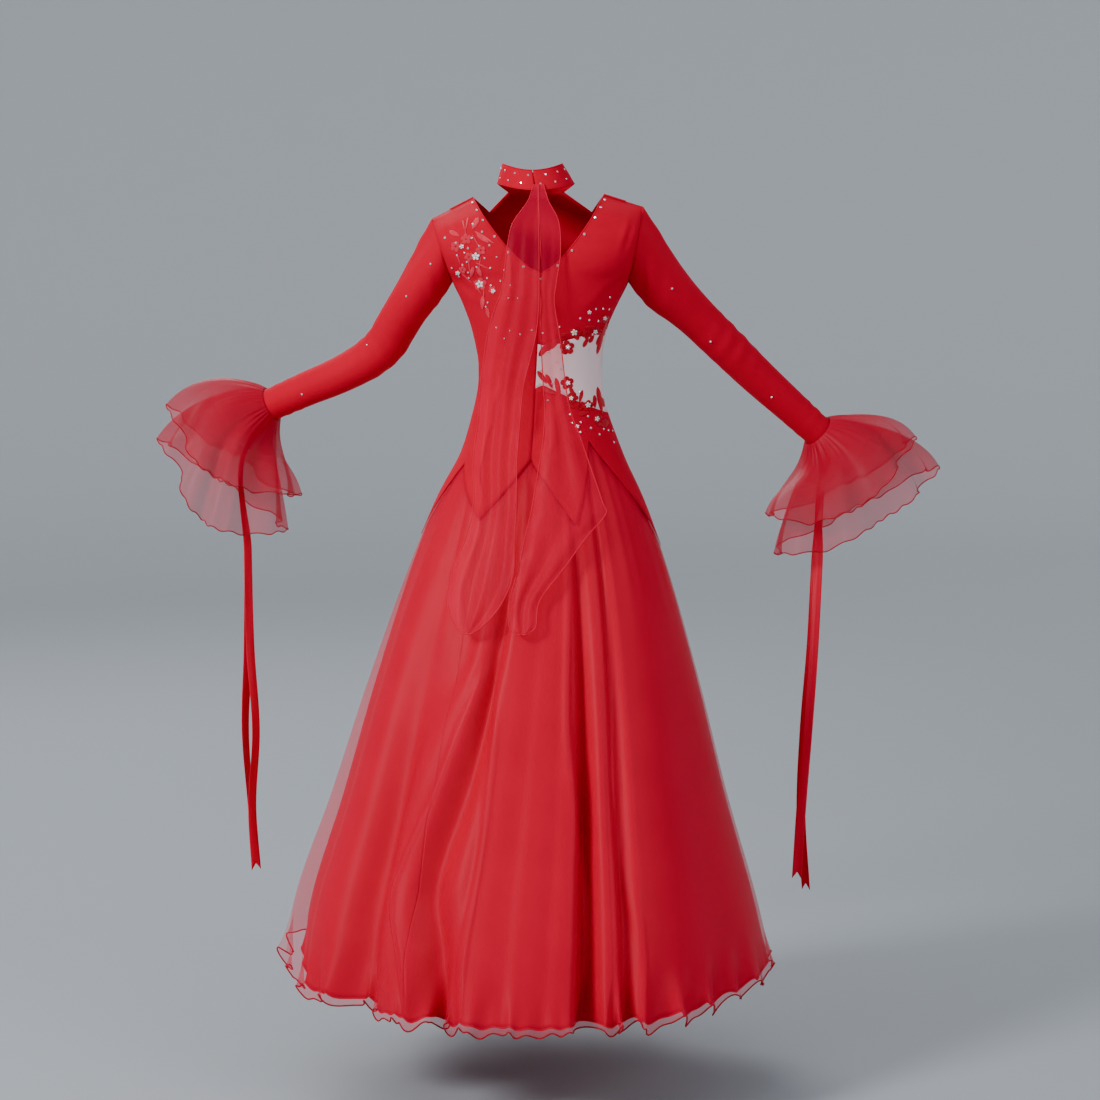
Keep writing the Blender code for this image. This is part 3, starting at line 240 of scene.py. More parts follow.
def blend(tree: Tree, share: Socket, first: str,
          second: str) -> Socket:
    """Two colours, given as hex digits, mixed by the second one's share."""
    mix = node(tree, "ShaderNodeMix", data_type="RGBA", blend_type="MIX")
    tree.links.new(share, mix.inputs["Factor"])
    # Inputs 6 and 7 and output 2 are the node's colour sockets
    mix.inputs[6].default_value = linear(first)
    mix.inputs[7].default_value = linear(second)
    return mix.outputs[2]


class Weave(Enum):
    """How a cloth is made, which gives its relief."""

    KNIT = "knit"
    PLAIN = "plain"
    SATIN = "satin"
    NET = "net"
    STITCH = "stitch"


# Period of a band wave in Blender is this over its scale
WAVE_PERIOD = 2 * math.pi / 20
# Size of the soft uneven patches of dye, and the refraction of nylon and polyester
PATCH_MM = 60.0
FIBRE_IOR = 1.46


@dataclass(frozen=True)
class Cloth:
    """A cloth's finish: its colour and gloss, and the pattern of its threads.

    The thread spacing is in millimetres and drawn coarser than real thread, so that
    it shows from a few metres away.
    """

    name: str
    colour: str
    shade: str
    weave: Weave
    spacing: float
    relief: float
    roughness: float
    sheen: float
    sheen_colour: str
    cover: float = 1.0
    thin: float = 0.0
    glow: float = 0.0
    gloss: float = 0.2
    slot: str = "red_stretch"

    def threads(self, tree: Tree) -> Socket:
        """Height of the threads, as waves along and across the piece's own map."""
        place = node(tree, "ShaderNodeTexCoord").outputs["UV"]
        scale = WAVE_PERIOD / (self.spacing * MM)
        wave = {"wave_type": "BANDS", "wave_profile": "SIN"}
        down = scale * (2.0 if self.weave in (Weave.SATIN, Weave.STITCH) else 1.0)
        uneven = {"Vector": place, "Distortion": 0.6, "Detail Scale": 2.0}
        warp = node(tree, "ShaderNodeTexWave", {**uneven, "Scale": scale}, bands_direction="X", **wave)
        weft = node(tree, "ShaderNodeTexWave", {**uneven, "Scale": down}, bands_direction="Y", **wave)
        if self.weave in (Weave.SATIN, Weave.STITCH):
            return weft.outputs["Fac"]
        how = "MAXIMUM" if self.weave is Weave.NET else "MULTIPLY"
        both = node(tree, "ShaderNodeMath", operation=how)
        tree.links.new(warp.outputs["Fac"], both.inputs[0])
        tree.links.new(weft.outputs["Fac"], both.inputs[1])
        return both.outputs[0]

    def mottle(self, tree: Tree, size_mm: float) -> Socket:
        """Soft uneven patches of about the size given, over the object."""
        place = node(tree, "ShaderNodeTexCoord").outputs["Object"]
        noise = {"Vector": place, "Scale": 1 / (size_mm * MM), "Detail": 3.0, "Roughness": 0.55}
        return node(tree, "ShaderNodeTexNoise", noise).outputs["Fac"]

    def material(self) -> Material:
        """The cloth's material: mottled colour, thread relief, sheen, and what shows through."""
        known = bpy.data.materials.get(self.name)
        if known:
            return known
        made = fresh_material(self.name)
        tree = made.node_tree
        threads = self.threads(tree)
        colour = blend(tree, self.mottle(tree, PATCH_MM), self.shade, self.colour)
        bump = node(tree, "ShaderNodeBump", {
            "Height": threads, "Distance": self.relief * MM, "Strength": 0.6})
        shader = node(tree, "ShaderNodeBsdfPrincipled", {
            "Base Color": colour, "Roughness": self.roughness, "IOR": FIBRE_IOR,
            "Specular IOR Level": self.gloss, "Sheen Weight": self.sheen, "Sheen Roughness": 0.35,
            "Sheen Tint": linear(self.sheen_colour), "Normal": bump.outputs["Normal"]})
        result = shader.outputs[0]
        if self.glow > 0:
            through = node(tree, "ShaderNodeBsdfTranslucent", {"Color": colour})
            result = self.mixed(tree, result, through.outputs[0], self.glow)
        if self.cover < 1:
            clear = node(tree, "ShaderNodeBsdfTransparent")
            result = self.mixed(tree, clear.outputs[0], result, self.covering(tree, threads))
        node(tree, "ShaderNodeOutputMaterial", {"Surface": result})
        return made

    @staticmethod
    def mixed(tree: Tree, first: Socket, second: Socket,
              share: float | Socket) -> Socket:
        """Two shaders mixed, with the second one's share."""
        mix = node(tree, "ShaderNodeMixShader", {"Fac": share})
        tree.links.new(first, mix.inputs[1])
        tree.links.new(second, mix.inputs[2])
        return mix.outputs[0]

    def covering(self, tree: Tree,
                 threads: Socket) -> Socket:
        """How much the threads cover: more on a thread and where the cloth is gathered."""
        dense = node(tree, "ShaderNodeAttribute", attribute_name="gathers").outputs["Fac"]
        spread = node(tree, "ShaderNodeMapRange", {
            "Value": threads, "To Min": self.cover - self.thin, "To Max": self.cover + self.thin})
        total = node(tree, "ShaderNodeMath", {0: spread.outputs[0], 1: dense}, operation="ADD")
        total.use_clamp = True
        return total.outputs[0]


@dataclass(frozen=True)
class Glint:
    """A hard bright finish for stones, sequins and beads."""

    name: str
    colour: str
    metallic: float
    roughness: float
    coat: float

    def material(self) -> Material:
        """The bright material, with a slightly uneven surface."""
        known = bpy.data.materials.get(self.name)
        if known:
            return known
        made = fresh_material(self.name)
        tree = made.node_tree
        place = node(tree, "ShaderNodeTexCoord").outputs["Object"]
        noise = node(tree, "ShaderNodeTexNoise", {"Vector": place, "Scale": 400.0, "Detail": 2.0})
        rough = node(tree, "ShaderNodeMapRange", {
            "Value": noise.outputs["Fac"], "To Min": self.roughness * 0.6, "To Max": self.roughness * 1.4})
        shader = node(tree, "ShaderNodeBsdfPrincipled", {
            "Base Color": linear(self.colour), "Metallic": self.metallic,
            "Roughness": rough.outputs[0], "Coat Weight": self.coat})
        node(tree, "ShaderNodeOutputMaterial", {"Surface": shader.outputs[0]})
        return made


# Knitted polyester and elastane, dyed crimson and brushed: matt, with a soft edge glow
JERSEY = Cloth("red_stretch_jersey", "CE002C", "BE0026", Weave.KNIT, 1.2, 0.25, 0.62, 0.02, "FF2A50",
               gloss=0.04)
# Woven crisp nylon organza: clear between its threads, and it shines along folds
ORGANZA = Cloth("crisp_red_organza", "EA0040", "DE003A", Weave.PLAIN, 1.6, 0.10, 0.36, 0.05, "FF5070",
                cover=0.44, thin=0.05, glow=0.30, gloss=0.12, slot="red_organza")
# The same organza at the wrists, in a darker colour that is painted shade: it dims cuffs that the lamps
# light strongly. Four sheets of it lie one over the other
SHADED_CUFF_ORGANZA = Cloth("painted_shade_cuff_organza", "CC0034", "C0002E", Weave.PLAIN, 1.6, 0.10, 0.36, 0.02,
                     "FF5070", cover=0.50, thin=0.05, glow=0.28, gloss=0.12, slot="red_organza")
# The lightest organza, cut on the bias for the floats
FLOAT_ORGANZA = Cloth("red_float_organza", "F00848", "E80440", Weave.PLAIN, 1.6, 0.10, 0.44, 0.12, "FF5070",
                      cover=0.40, thin=0.05, glow=0.35, gloss=0.15, slot="red_organza")
# Polyester satin: long floats of thread give a smooth soft gloss
SATIN = Cloth("red_polyester_satin", "DE0034", "D4002E", Weave.SATIN, 1.0, 0.10, 0.36, 0.05, "FF3A5A",
              glow=0.08, gloss=0.20, slot="red_satin")
# Fine nude power mesh: pale and matt, with small holes that let the dark inside through
MESH = Cloth("nude_power_mesh", "EED4D6", "E6CCCE", Weave.NET, 1.4, 0.20, 0.75, 0.15, "FFFFFF",
             cover=0.95, thin=0.04, slot="nude_mesh")
# Rayon embroidery thread in satin stitch: raised, close and glossy
STITCH = Cloth("red_satin_stitch", "C80024", "B4001E", Weave.STITCH, 0.8, 0.35, 0.38, 0.15, "FF5060",
               slot="red_lace")
# The lighter rayon thread of the shoulder lace
STITCH_LIGHT = Cloth("light_red_satin_stitch", "E83048", "DC2840", Weave.STITCH, 0.8, 0.35, 0.38, 0.30,
                     "FFA0A8", slot="red_lace")
# Overlocked and rolled organza edge: dense thread, darker than the cloth
ROLLED = Cloth("red_rolled_hem", "B40020", "A0001A", Weave.STITCH, 0.8, 0.30, 0.45, 0.06, "FF3A50",
               slot="red_organza")
# The narrow hem of the floats: one turn of thread, as light as the cloth it holds
NARROW_HEM = Cloth("light_red_narrow_hem", "E00838", "D40430", Weave.STITCH, 0.8, 0.20, 0.45, 0.06, "FF5070",
                   slot="red_organza")
# Foil-backed cut glass
CRYSTAL = Glint("clear_foiled_glass", "F4F6FA", 0.85, 0.10, 1.0)
# Pressed pearly white sequin plastic
SEQUIN = Glint("white_pearl_sequin", "F2EEF0", 0.25, 0.28, 0.8)
# Small gold-plated beads
GOLD = Glint("gold_plated_bead", "D9A441", 1.0, 0.25, 0.5)


# Making pieces

def quads(rows: int, columns: int, closed: bool) -> Array:
    """Corner numbers of the faces of a grid, row by row."""
    across = columns if closed else columns - 1
    i, j = np.meshgrid(np.arange(rows - 1), np.arange(across), indexing="ij")
    k = (j + 1) % columns
    here, below = i * columns, (i + 1) * columns
    return np.stack([here + j, below + j, below + k, here + k], -1).reshape(-1, 4)


def area_ways(points: Array, faces: Array) -> Array:
    """Twice the area of each face's first half, along its normal."""
    corner = points[faces[:, :3]]
    return np.cross(corner[:, 1] - corner[:, 0], corner[:, 2] - corner[:, 0])


def thicken(piece: Piece, thickness: float) -> None:
    """Give a sheet a wall, inwards from its outer points."""
    wall = piece.modifiers.new("wall", "SOLIDIFY")
    wall.thickness = thickness
    wall.offset = -1


def link(mesh: bpy.types.Mesh, finish: Cloth | Glint) -> Piece:
    """Put a mesh in the scene as a piece of its own, with its finish."""
    mesh.materials.append(finish.material())
    piece = bpy.data.objects.new(mesh.name, mesh)
    bpy.context.scene.collection.objects.link(piece)
    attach(piece, BODY)
    return piece


def cloth_map(mesh: bpy.types.Mesh, points: Array, faces: Array, closed: bool) -> None:
    """Give a grid its flat map in metres: across by mean width, down by mean length.

    Args:
        mesh: the mesh made from the grid.
        points: rows by columns by three.
        faces: corner numbers, in the mesh's own order.
        closed: whether the last column joins the first.
    """
    columns = points.shape[1]
    wide = np.concatenate([points, points[:, :1]], axis=1) if closed else points
    across = np.linalg.norm(np.diff(wide, axis=1), axis=-1).mean(axis=0)
    down = np.linalg.norm(np.diff(points, axis=0), axis=-1).mean(axis=1)
    u = np.concatenate([[0], np.cumsum(across)])
    v = np.concatenate([[0], np.cumsum(down)])
    row = faces // columns
    column = faces % columns
    wraps = closed & (column.max(axis=1) == columns - 1) & (column.min(axis=1) == 0)
    column = np.where(wraps[:, None] & (column == 0), columns, column)
    layer = mesh.uv_layers.new(name="cloth")
    layer.data.foreach_set("uv", np.stack([u[column], v[row]], -1).astype(np.float32).ravel())


def cloth_piece(name: str, points: Array, finish: Cloth, middle: Array, closed: bool = False,
                thickness: float = 0.0, gathers: Array | None = None) -> Piece:
    """Make a sheet of cloth from a grid of its outer points.

    Args:
        name: the piece's name.
        points: rows by columns by three.
        finish: the cloth.
        middle: a place inside, which the cloth faces away from.
        closed: whether the last column joins the first.
        thickness: wall thickness, inwards, or none for a sheer sheet.
        gathers: extra cover at each point, from 0 to 1.

    Returns:
        The new piece.
    """
    rows, columns = points.shape[:2]
    faces = quads(rows, columns, closed)
    flat = points.reshape(-1, 3)
    if np.sum(area_ways(flat, faces) * (flat[faces[:, 0]] - middle)) < 0:
        faces = faces[:, ::-1]
    mesh = bpy.data.meshes.new(name)
    mesh.from_pydata(flat, [], faces)
    cloth_map(mesh, points, faces, closed)
    if gathers is not None:
        extra = mesh.attributes.new("gathers", "FLOAT", "POINT")
        cover = np.broadcast_to(gathers, (rows, columns))
        extra.data.foreach_set("value", cover.astype(np.float32).ravel())
    mesh.shade_smooth()
    mesh.update()
    piece = link(mesh, finish)
    if thickness > 0:
        thicken(piece, thickness)
    return piece


# Sides of a rolled edge
ROLL_SIDES = 6


def tube(path: Array, across: Array, radius: float, closed: bool) -> tuple[Array, Array]:
    """Points and faces of a round roll along a path.

    Args:
        path: middle of the roll.
        across: a direction to one side of the path, at each point.
        radius: of the roll.
        closed: whether the path joins up.

    Returns:
        Its points, and its faces as corner numbers.
    """
    wide = np.concatenate([path[-1:], path, path[:1]]) if closed else path
    along = unit(np.gradient(wide, axis=0))
    along = along[1:-1] if closed else along
    first = unit(np.cross(along, across))
    second = np.cross(along, first)
    sides = ROLL_SIDES
    turn = np.linspace(0, 2 * math.pi, sides, endpoint=False)[:, None]
    rings = path[:, None] + radius * (np.cos(turn) * first[:, None] + np.sin(turn) * second[:, None])
    faces = quads(len(path), sides, True)
    if closed:
        last = (len(path) - 1) * sides + np.arange(sides)
        start = np.arange(sides)
        joined = np.stack([last, start, np.roll(start, -1), np.roll(last, -1)], -1)
        faces = np.concatenate([faces, joined])
    return rings.reshape(-1, 3), faces


def rolls(name: str, paths: list[tuple[Array, Array, bool]], radius: float,
          finish: Cloth) -> Piece:
    """One piece of several round rolls.

    Args:
        name: the piece's name.
        paths: the middle line of each roll, the direction to its side, and whether it joins up.
        radius: of every roll.
        finish: its cloth.

    Returns:
        The new piece.
    """
    sides = ROLL_SIDES
    points: list[Array] = []
    faces: list[list[int]] = []
    count = 0
    for path, across, closed in paths:
        ring, around = tube(path, across, radius, closed)
        faces.extend((around + count).tolist())
        if not closed:
            faces.append(list(range(count, count + sides)))
            faces.append(list(range(count + len(ring) - 1, count + len(ring) - 1 - sides, -1)))
        points.append(ring)
        count += len(ring)
    at = np.concatenate(points)
    mesh = bpy.data.meshes.new(name)
    mesh.from_pydata(at, [], faces)
    outward(mesh)
    layer = mesh.uv_layers.new(name="cloth")
    loops = np.empty(len(mesh.loops), np.int32)
    mesh.loops.foreach_get("vertex_index", loops)
    run = run_along(at[::sides])
    uv = np.stack([(np.arange(len(at)) % sides) * radius, np.repeat(run, sides)[:len(at)]], -1)
    layer.data.foreach_set("uv", uv[loops].astype(np.float32).ravel())
    mesh.shade_smooth()
    return link(mesh, finish)


def outward(mesh: bpy.types.Mesh) -> None:
    """Turn a closed mesh's faces outwards."""
    body = bmesh.new()
    body.from_mesh(mesh)
    bmesh.ops.recalc_face_normals(body, faces=body.faces)
    body.to_mesh(mesh)
    body.free()


@dataclass(frozen=True)
class Cut:
    """A cloth piece's flat cut: width, length and area, how it is held, and by what."""

    width: float
    length: float
    area: float
    held: str
    by: tuple[str, ...]

    def declare(self, piece: Piece, extras: list[Piece]) -> None:
        """Take a piece and its extras, and do nothing with them."""


# The dress's outline

@dataclass(frozen=True)
class Outline:
    """Level outlines of the dress: half widths left and right, depths behind and in front."""

    sections: Table = Table("z left right back front", (
        (0.03, 0.15, 0.15, 0.066, 0.062), (0, 0.15, 0.15, 0.074, 0.072),
        (-0.05, 0.15, 0.15, 0.086, 0.087), (-0.1, 0.15, 0.15, 0.093, 0.099),
        (-0.141, 0.146, 0.145, 0.093, 0.107), (-0.17, 0.132, 0.13, 0.09, 0.109),
        (-0.22, 0.114, 0.109, 0.083, 0.099), (-0.27, 0.104, 0.102, 0.077, 0.08),
        (-0.295, 0.103, 0.102, 0.077, 0.076), (-0.345, 0.111, 0.11, 0.086, 0.081),
        (-0.42, 0.132, 0.136, 0.11, 0.095), (-0.471, 0.16, 0.16, 0.128, 0.112),
        (-0.588, 0.212, 0.205, 0.174, 0.162), (-0.792, 0.287, 0.265, 0.252, 0.246),
        (-0.997, 0.355, 0.317, 0.325, 0.32), (-1.204, 0.425, 0.376, 0.394, 0.388),
        (-1.31, 0.44, 0.4, 0.414, 0.41),
    ))
    hem_z: float = -1.288
    square_z: float = -0.45
    square_body: float = 2.25
    square_hem: float = 2.0

    def size(self, z: Array, name: str) -> Array:
        """A half width or depth at the height z."""
        return self.sections.curve(z, "z", name)

    def power(self, z: Array) -> Array:
        """Exponent of the outline: a little square at the body, round at the hem."""
        share = np.clip((np.asarray(z) - self.square_z) / (self.hem_z - self.square_z), 0, 1)
        return self.square_body + (self.square_hem - self.square_body) * share

    def point(self, angle: Array, z: Array) -> Array:
        """Point at an angle from the centre back: a superellipse of the level's sizes."""
        sine = np.sin(angle)
        cosine = np.cos(angle)
        power = 2 / self.power(z)
        width = np.where(sine >= 0, self.size(z, "left"), self.size(z, "right"))
        depth = np.where(cosine >= 0, self.size(z, "back"), self.size(z, "front"))
        x = width * np.sign(sine) * np.abs(sine) ** power
        y = depth * np.sign(cosine) * np.abs(cosine) ** power
        return np.stack([x, y, z + 0 * x], axis=-1)


OUTLINE = Outline()


@dataclass(frozen=True)
class Yoke:
    """The zigzag seam between bodice and skirt, by column round the dress."""

    seam: Table = Table("column angle height", (
        (-20, 90, -0.56), (-14, 62, -0.437), (-6, 30, -0.524), (0, 5, -0.427), (6, -16, -0.532),
        (12, -36, -0.398), (24, -90, -0.58), (32, -125, -0.44), (38, -152, -0.53), (44, -180, -0.43),
        (50, -208, -0.53), (56, -235, -0.44), (64, -270, -0.56),
    ))
    first: int = -20
    last: int = 64

    def at(self, columns: Array) -> tuple[Array, Array]:
        """Angles in radians and heights of the seam at some columns."""
        angle = self.seam.line(columns, "column", "angle")
        return np.radians(angle), self.seam.line(columns, "column", "height")


YOKE = Yoke()
# A place inside the body of the dress, which its cloth faces away from
TORSO = np.array([0.0, 0.0, -0.3])
# How steeply the shoulder line rises from the shoulder seam's inner end to the neck
NECK_RISE = 0.24


@dataclass(frozen=True)
class Side:
    """One side of the bodice: shoulder seam ends and underarm point, as x and z."""

    name: str
    sign: int
    neck: tuple[float, float]
    tip: tuple[float, float]
    pit: tuple[float, float]

    def armhole(self, share: Array) -> tuple[Array, Array]:
        """Front-on place of the armhole edge, straight from shoulder to underarm."""
        x = self.tip[0] + (self.pit[0] - self.tip[0]) * share
        return x, self.tip[1] + (self.pit[1] - self.tip[1]) * share

    def shoulder(self, x: Array) -> Array:
        """Height of the shoulder seam over x, carried on towards the neck."""
        slope = (self.tip[1] - self.neck[1]) / (self.tip[0] - self.neck[0])
        outside = self.neck[1] + slope * (x - self.neck[0])
        return np.where(x > self.neck[0], outside, self.neck[1] + NECK_RISE * (self.neck[0] - x))


LEFT = Side("left", 1, (0.112, -0.001), (0.180, -0.036), (0.146, -0.141))
RIGHT = Side("right", -1, (0.106, 0.004), (0.170, -0.016), (0.145, -0.140))
SIDES = (LEFT, RIGHT)


@dataclass(frozen=True)
class CollarShape:
    """A standing collar: two ellipses, higher at the sides than at back and front."""

    bottom: tuple[float, float] = (0.064, 0.064)
    top: tuple[float, float] = (0.050, 0.055)
    bottom_x: float = 0.0075
    top_x: float = 0.0130
    back_z: float = 0.0110
    side_z: float = 0.0220
    front_z: float = 0.0080
    height: float = 0.0320

    def point(self, angle: Array, rise: Array) -> Array:
        """Outer point at an angle from the back and a share of the height."""
        cosine = np.cos(angle)
        back = self.side_z + (self.back_z - self.side_z) * cosine ** 2
        front = self.side_z + (self.front_z - self.side_z) * np.minimum(1, 2 * cosine ** 2)
        half_x = self.bottom[0] + (self.top[0] - self.bottom[0]) * rise
        half_y = self.bottom[1] + (self.top[1] - self.bottom[1]) * rise
        x = self.bottom_x + (self.top_x - self.bottom_x) * rise + half_x * np.sin(angle)
        z = np.where(cosine > 0, back, front) + self.height * rise
        return np.stack([x, half_y * cosine, z], axis=-1)

    def depth_over(self, x: Array, z: Array) -> Array:
        """Depth of the collar's back at x and z."""
        rise = np.clip((z - self.back_z) / self.height, 0, 1)
        middle = self.bottom_x + (self.top_x - self.bottom_x) * rise
        half_x = self.bottom[0] + (self.top[0] - self.bottom[0]) * rise
        half_y = self.bottom[1] + (self.top[1] - self.bottom[1]) * rise
        return half_y * np.sqrt(1 - np.clip((x - middle) / half_x, -0.9, 0.9) ** 2)


COLLAR = CollarShape()


@dataclass
class Collar:
    """The collar's cloth, rolled edges and two rows of stones."""

    thickness: float = 0.0012
    roll: float = 0.0012
    columns: int = 160
    rows: int = 13
    # Half the opening at the centre back, in degrees, and how far the band bows out
    opening: float = 0.8
    bow: float = 0.0006
    middle: tuple[float, float, float] = (0.01, 0, 0.03)
    # Stones of a row, the first one's angle, the rows' shares of the height, and their size
    stones: int = 14
    stones_from: float = 0.16
    stone_rises: tuple[float, float] = (0.74, 0.30)
    stone_mm: float = 1.9

    def build(self, work: "Workroom") -> None:
        """Make the collar with its back opening."""
        gap = math.radians(self.opening)
        angle = np.linspace(gap, 2 * math.pi - gap, self.columns + 1)[None, :]
        rise = np.linspace(1, 0, self.rows)[:, None]
        soft = self.bow * np.sin(math.pi * rise)[..., None]
        outward_way = np.stack([np.sin(angle), np.cos(angle), 0 * angle], -1)
        points = COLLAR.point(angle, rise) + soft * outward_way
        piece = cloth_piece("collar_jersey", points, JERSEY, np.array(self.middle),
                            thickness=self.thickness)
        side = np.broadcast_to(outward_way[0], points[0].shape)
        rims = [(row - side * self.thickness / 2, side, False) for row in (points[0], points[-1])]
        edge = rolls("collar_rolled_edges", rims, self.roll, JERSEY)
        work.cover(piece, "collar", extras=[edge])
        turn = np.linspace(self.stones_from, 2 * math.pi - self.stones_from, 2 * self.stones)
        rises = np.where(np.arange(2 * self.stones) % 2 == 0, *self.stone_rises)
        spot = COLLAR.point(turn, rises)
        normal = unit(np.stack([np.sin(turn), np.cos(turn), 0.2 + 0 * turn], -1))
        size = np.full(len(turn), self.stone_mm * MM)
        work.gems.append((spot + normal * 0.4 * MM, normal, size))


@dataclass
class Bodice:
    """Front, two back halves and the mesh waist inset."""

    thickness: float = 0.0012
    fine: int = 4
    armhole_back: float = 0.050
    armhole_front: float = 0.046
    armhole_fullness: float = 0.8
    shoulder_round: float = 0.055
    front_round: float = 0.090
    v_tip: tuple[float, float] = (-0.001, -0.128)
    v_sag: float = 0.016
    dip: tuple[float, float] = (0.086, -0.026)
    cup_rise: float = 0.010
    cup_place: tuple[float, float, float] = (0.066, -0.168, 0.036)
    dip_share: float = 0.4
    armhole_rows: int = 7
    yoke_rows: int = 3
    # Column of the right side seam, and how much of a column the right back laps over it
    side_seam: int = 24
    lap: float = 0.5
    # Neck stones on each side: how many, where they start and stop, and their places
    neck_gems: int = 6
    gems_from: float = 0.018
    gems_to: float = 0.030
    gems_in: float = 0.004
    gems_down: float = 0.002
    gem_mm: float = 2.2
    # Uneven tone of the cloth, and the share of a crease that shows in front
    tone: float = 0.0005
    front_creases: float = 0.6
    binding_roll: float = 0.0013
    inset_top: int = 3
    inset_bottom: int = 6
    levels: Table = Table("back side front", (
        (-0.128, -0.141, -0.136), (-0.166, -0.167, -0.168), (-0.205, -0.192, -0.204),
        (-0.243, -0.218, -0.24), (-0.264, -0.264, -0.268), (-0.285, -0.31, -0.3),
        (-0.307, -0.356, -0.34),
    ))
    creases: Table = Table("x z turn length width height", (
        (0.12, -0.15, 35, 0.06, 0.006, 0.0016), (0.108, -0.178, 28, 0.055, 0.007, 0.0012),
        (-0.118, -0.15, -38, 0.06, 0.006, 0.0016), (-0.1, -0.176, -30, 0.06, 0.007, 0.0012),
        (0.07, -0.27, 4, 0.07, 0.008, 0.0012), (0.06, -0.3, -6, 0.08, 0.009, 0.0012),
        (-0.02, -0.335, 12, 0.06, 0.01, 0.001), (0.15, -0.07, 70, 0.05, 0.006, 0.0012),
        (-0.145, -0.065, -72, 0.05, 0.006, 0.0012),
    ))

    def cup(self, x: Array, z: Array) -> Array:
        """Fullness that the bust darts give: a bell at each side."""
        across, up, size = self.cup_place
        apart = ((np.abs(x) - across) / size) ** 2
        return self.cup_rise * np.exp(-apart - ((z - up) / size) ** 2)

    def depth(self, side: Side, x: Array, z: Array, share: Array, where: str) -> Array:
        """How far the cloth stands behind or in front of the shoulder seam.

        Args:
            side: the side of the body.
            x: distance from the middle.
            z: height.
            share: how far down the armhole.
            where: back or front.

        Returns:
            The depth: full in the middle, the armhole's own at its edge, and rounded
            to nothing at the shoulder seam.
        """
        bulge = self.armhole_back if where == "back" else self.armhole_front
        edge = bulge * np.sin(math.pi * np.clip(share, 0, 1)) ** self.armhole_fullness
        full = OUTLINE.size(z, where)
        if where == "front":
            full = full + self.cup(x, z)
        across = np.clip(np.abs(x) / side.armhole(share)[0], 0, 1) ** OUTLINE.square_body
        depth = edge + (full - edge) * (1 - across) ** (1 / OUTLINE.square_body)
        rounding = self.shoulder_round if where == "back" else self.front_round
        fall = np.clip((side.shoulder(np.abs(x)) - z) / rounding, 0, 1)
        return depth * np.sqrt(1 - (1 - fall) ** 2)

    def armhole_loop(self, side: Side) -> Array:
        """Points round an armhole, from the shoulder over the back."""
        share = np.linspace(0, 1, self.armhole_rows)
        x, z = side.armhole(share)
        loop = []
        for where, turn in (("back", 1), ("front", -1)):
            y = turn * self.depth(side, x, z, share, where)
            loop.append(np.stack([side.sign * x, y, z], axis=-1))
        return np.concatenate([loop[0], loop[1][-2:0:-1]])

    def heights(self, angles: Array, seam: Array, level: int, where: str) -> Array:
        """Heights of one row of a panel, from the underarm down to the zigzag seam."""
        last = len(self.levels.rows) - 1
        middle = self.levels.column(where)[min(level, last)]
        outer = self.levels.column("side")[min(level, last)]
        z = middle + (outer - middle) * np.abs(np.sin(angles)) ** (2 / OUTLINE.square_body)
        return z + (seam - z) * max(0, level - last) / self.yoke_rows

    def back_rows(self, side: Side, columns: Array) -> Array:
        """Rows of half the back, from the shoulder seam to the zigzag seam."""
        angles, seam = YOKE.at(columns)
        sine = np.sin(angles) * side.sign
        spread = np.sign(sine) * np.abs(sine) ** (2 / OUTLINE.square_body)
        spread = (spread - spread[0]) / (1 - spread[0])
        start = self.v_tip[0] * side.sign
        width = OUTLINE.size(self.v_tip[1], side.name)
        rows = []
        for share in np.linspace(0, 1, self.armhole_rows):
            out_x, out_z = side.armhole(share)
            in_x = side.neck[0] + (start - side.neck[0]) * share
            in_z = side.neck[1] + (self.v_tip[1] - side.neck[1]) * share
            in_z = in_z - self.v_sag * 4 * share * (1 - share)
            x = in_x + (out_x - in_x) * spread
            z = in_z + (out_z - in_z) * spread
            depth = self.depth(side, x, z, share, "back")
            rows.append(np.stack([side.sign * x, depth, z], axis=-1))
        reach = np.clip((start + (width - start) * spread) / width, -1, 1)
        begin = np.arcsin(side.sign * np.sign(reach) * np.abs(reach) ** (OUTLINE.square_body / 2))
        count = len(self.levels.rows) - 1 + self.yoke_rows
        for level in range(1, count + 1):
            around = begin + (angles - begin) * level / count
            rows.append(OUTLINE.point(around, self.heights(angles, seam, level, "back")))
        return np.array(rows)

    def front_rows(self) -> Array:
        """Rows of the front, from its upper edge to the zigzag seam."""
        columns = np.arange(self.side_seam, YOKE.last + 1, 2)
        angles, seam = YOKE.at(columns)
        centre, corner, held = len(columns) // 2, 4, 2
        sides = [RIGHT if j < centre else LEFT for j in range(len(columns))]
        spread = np.abs(np.sin(angles)) ** (2 / OUTLINE.square_body)
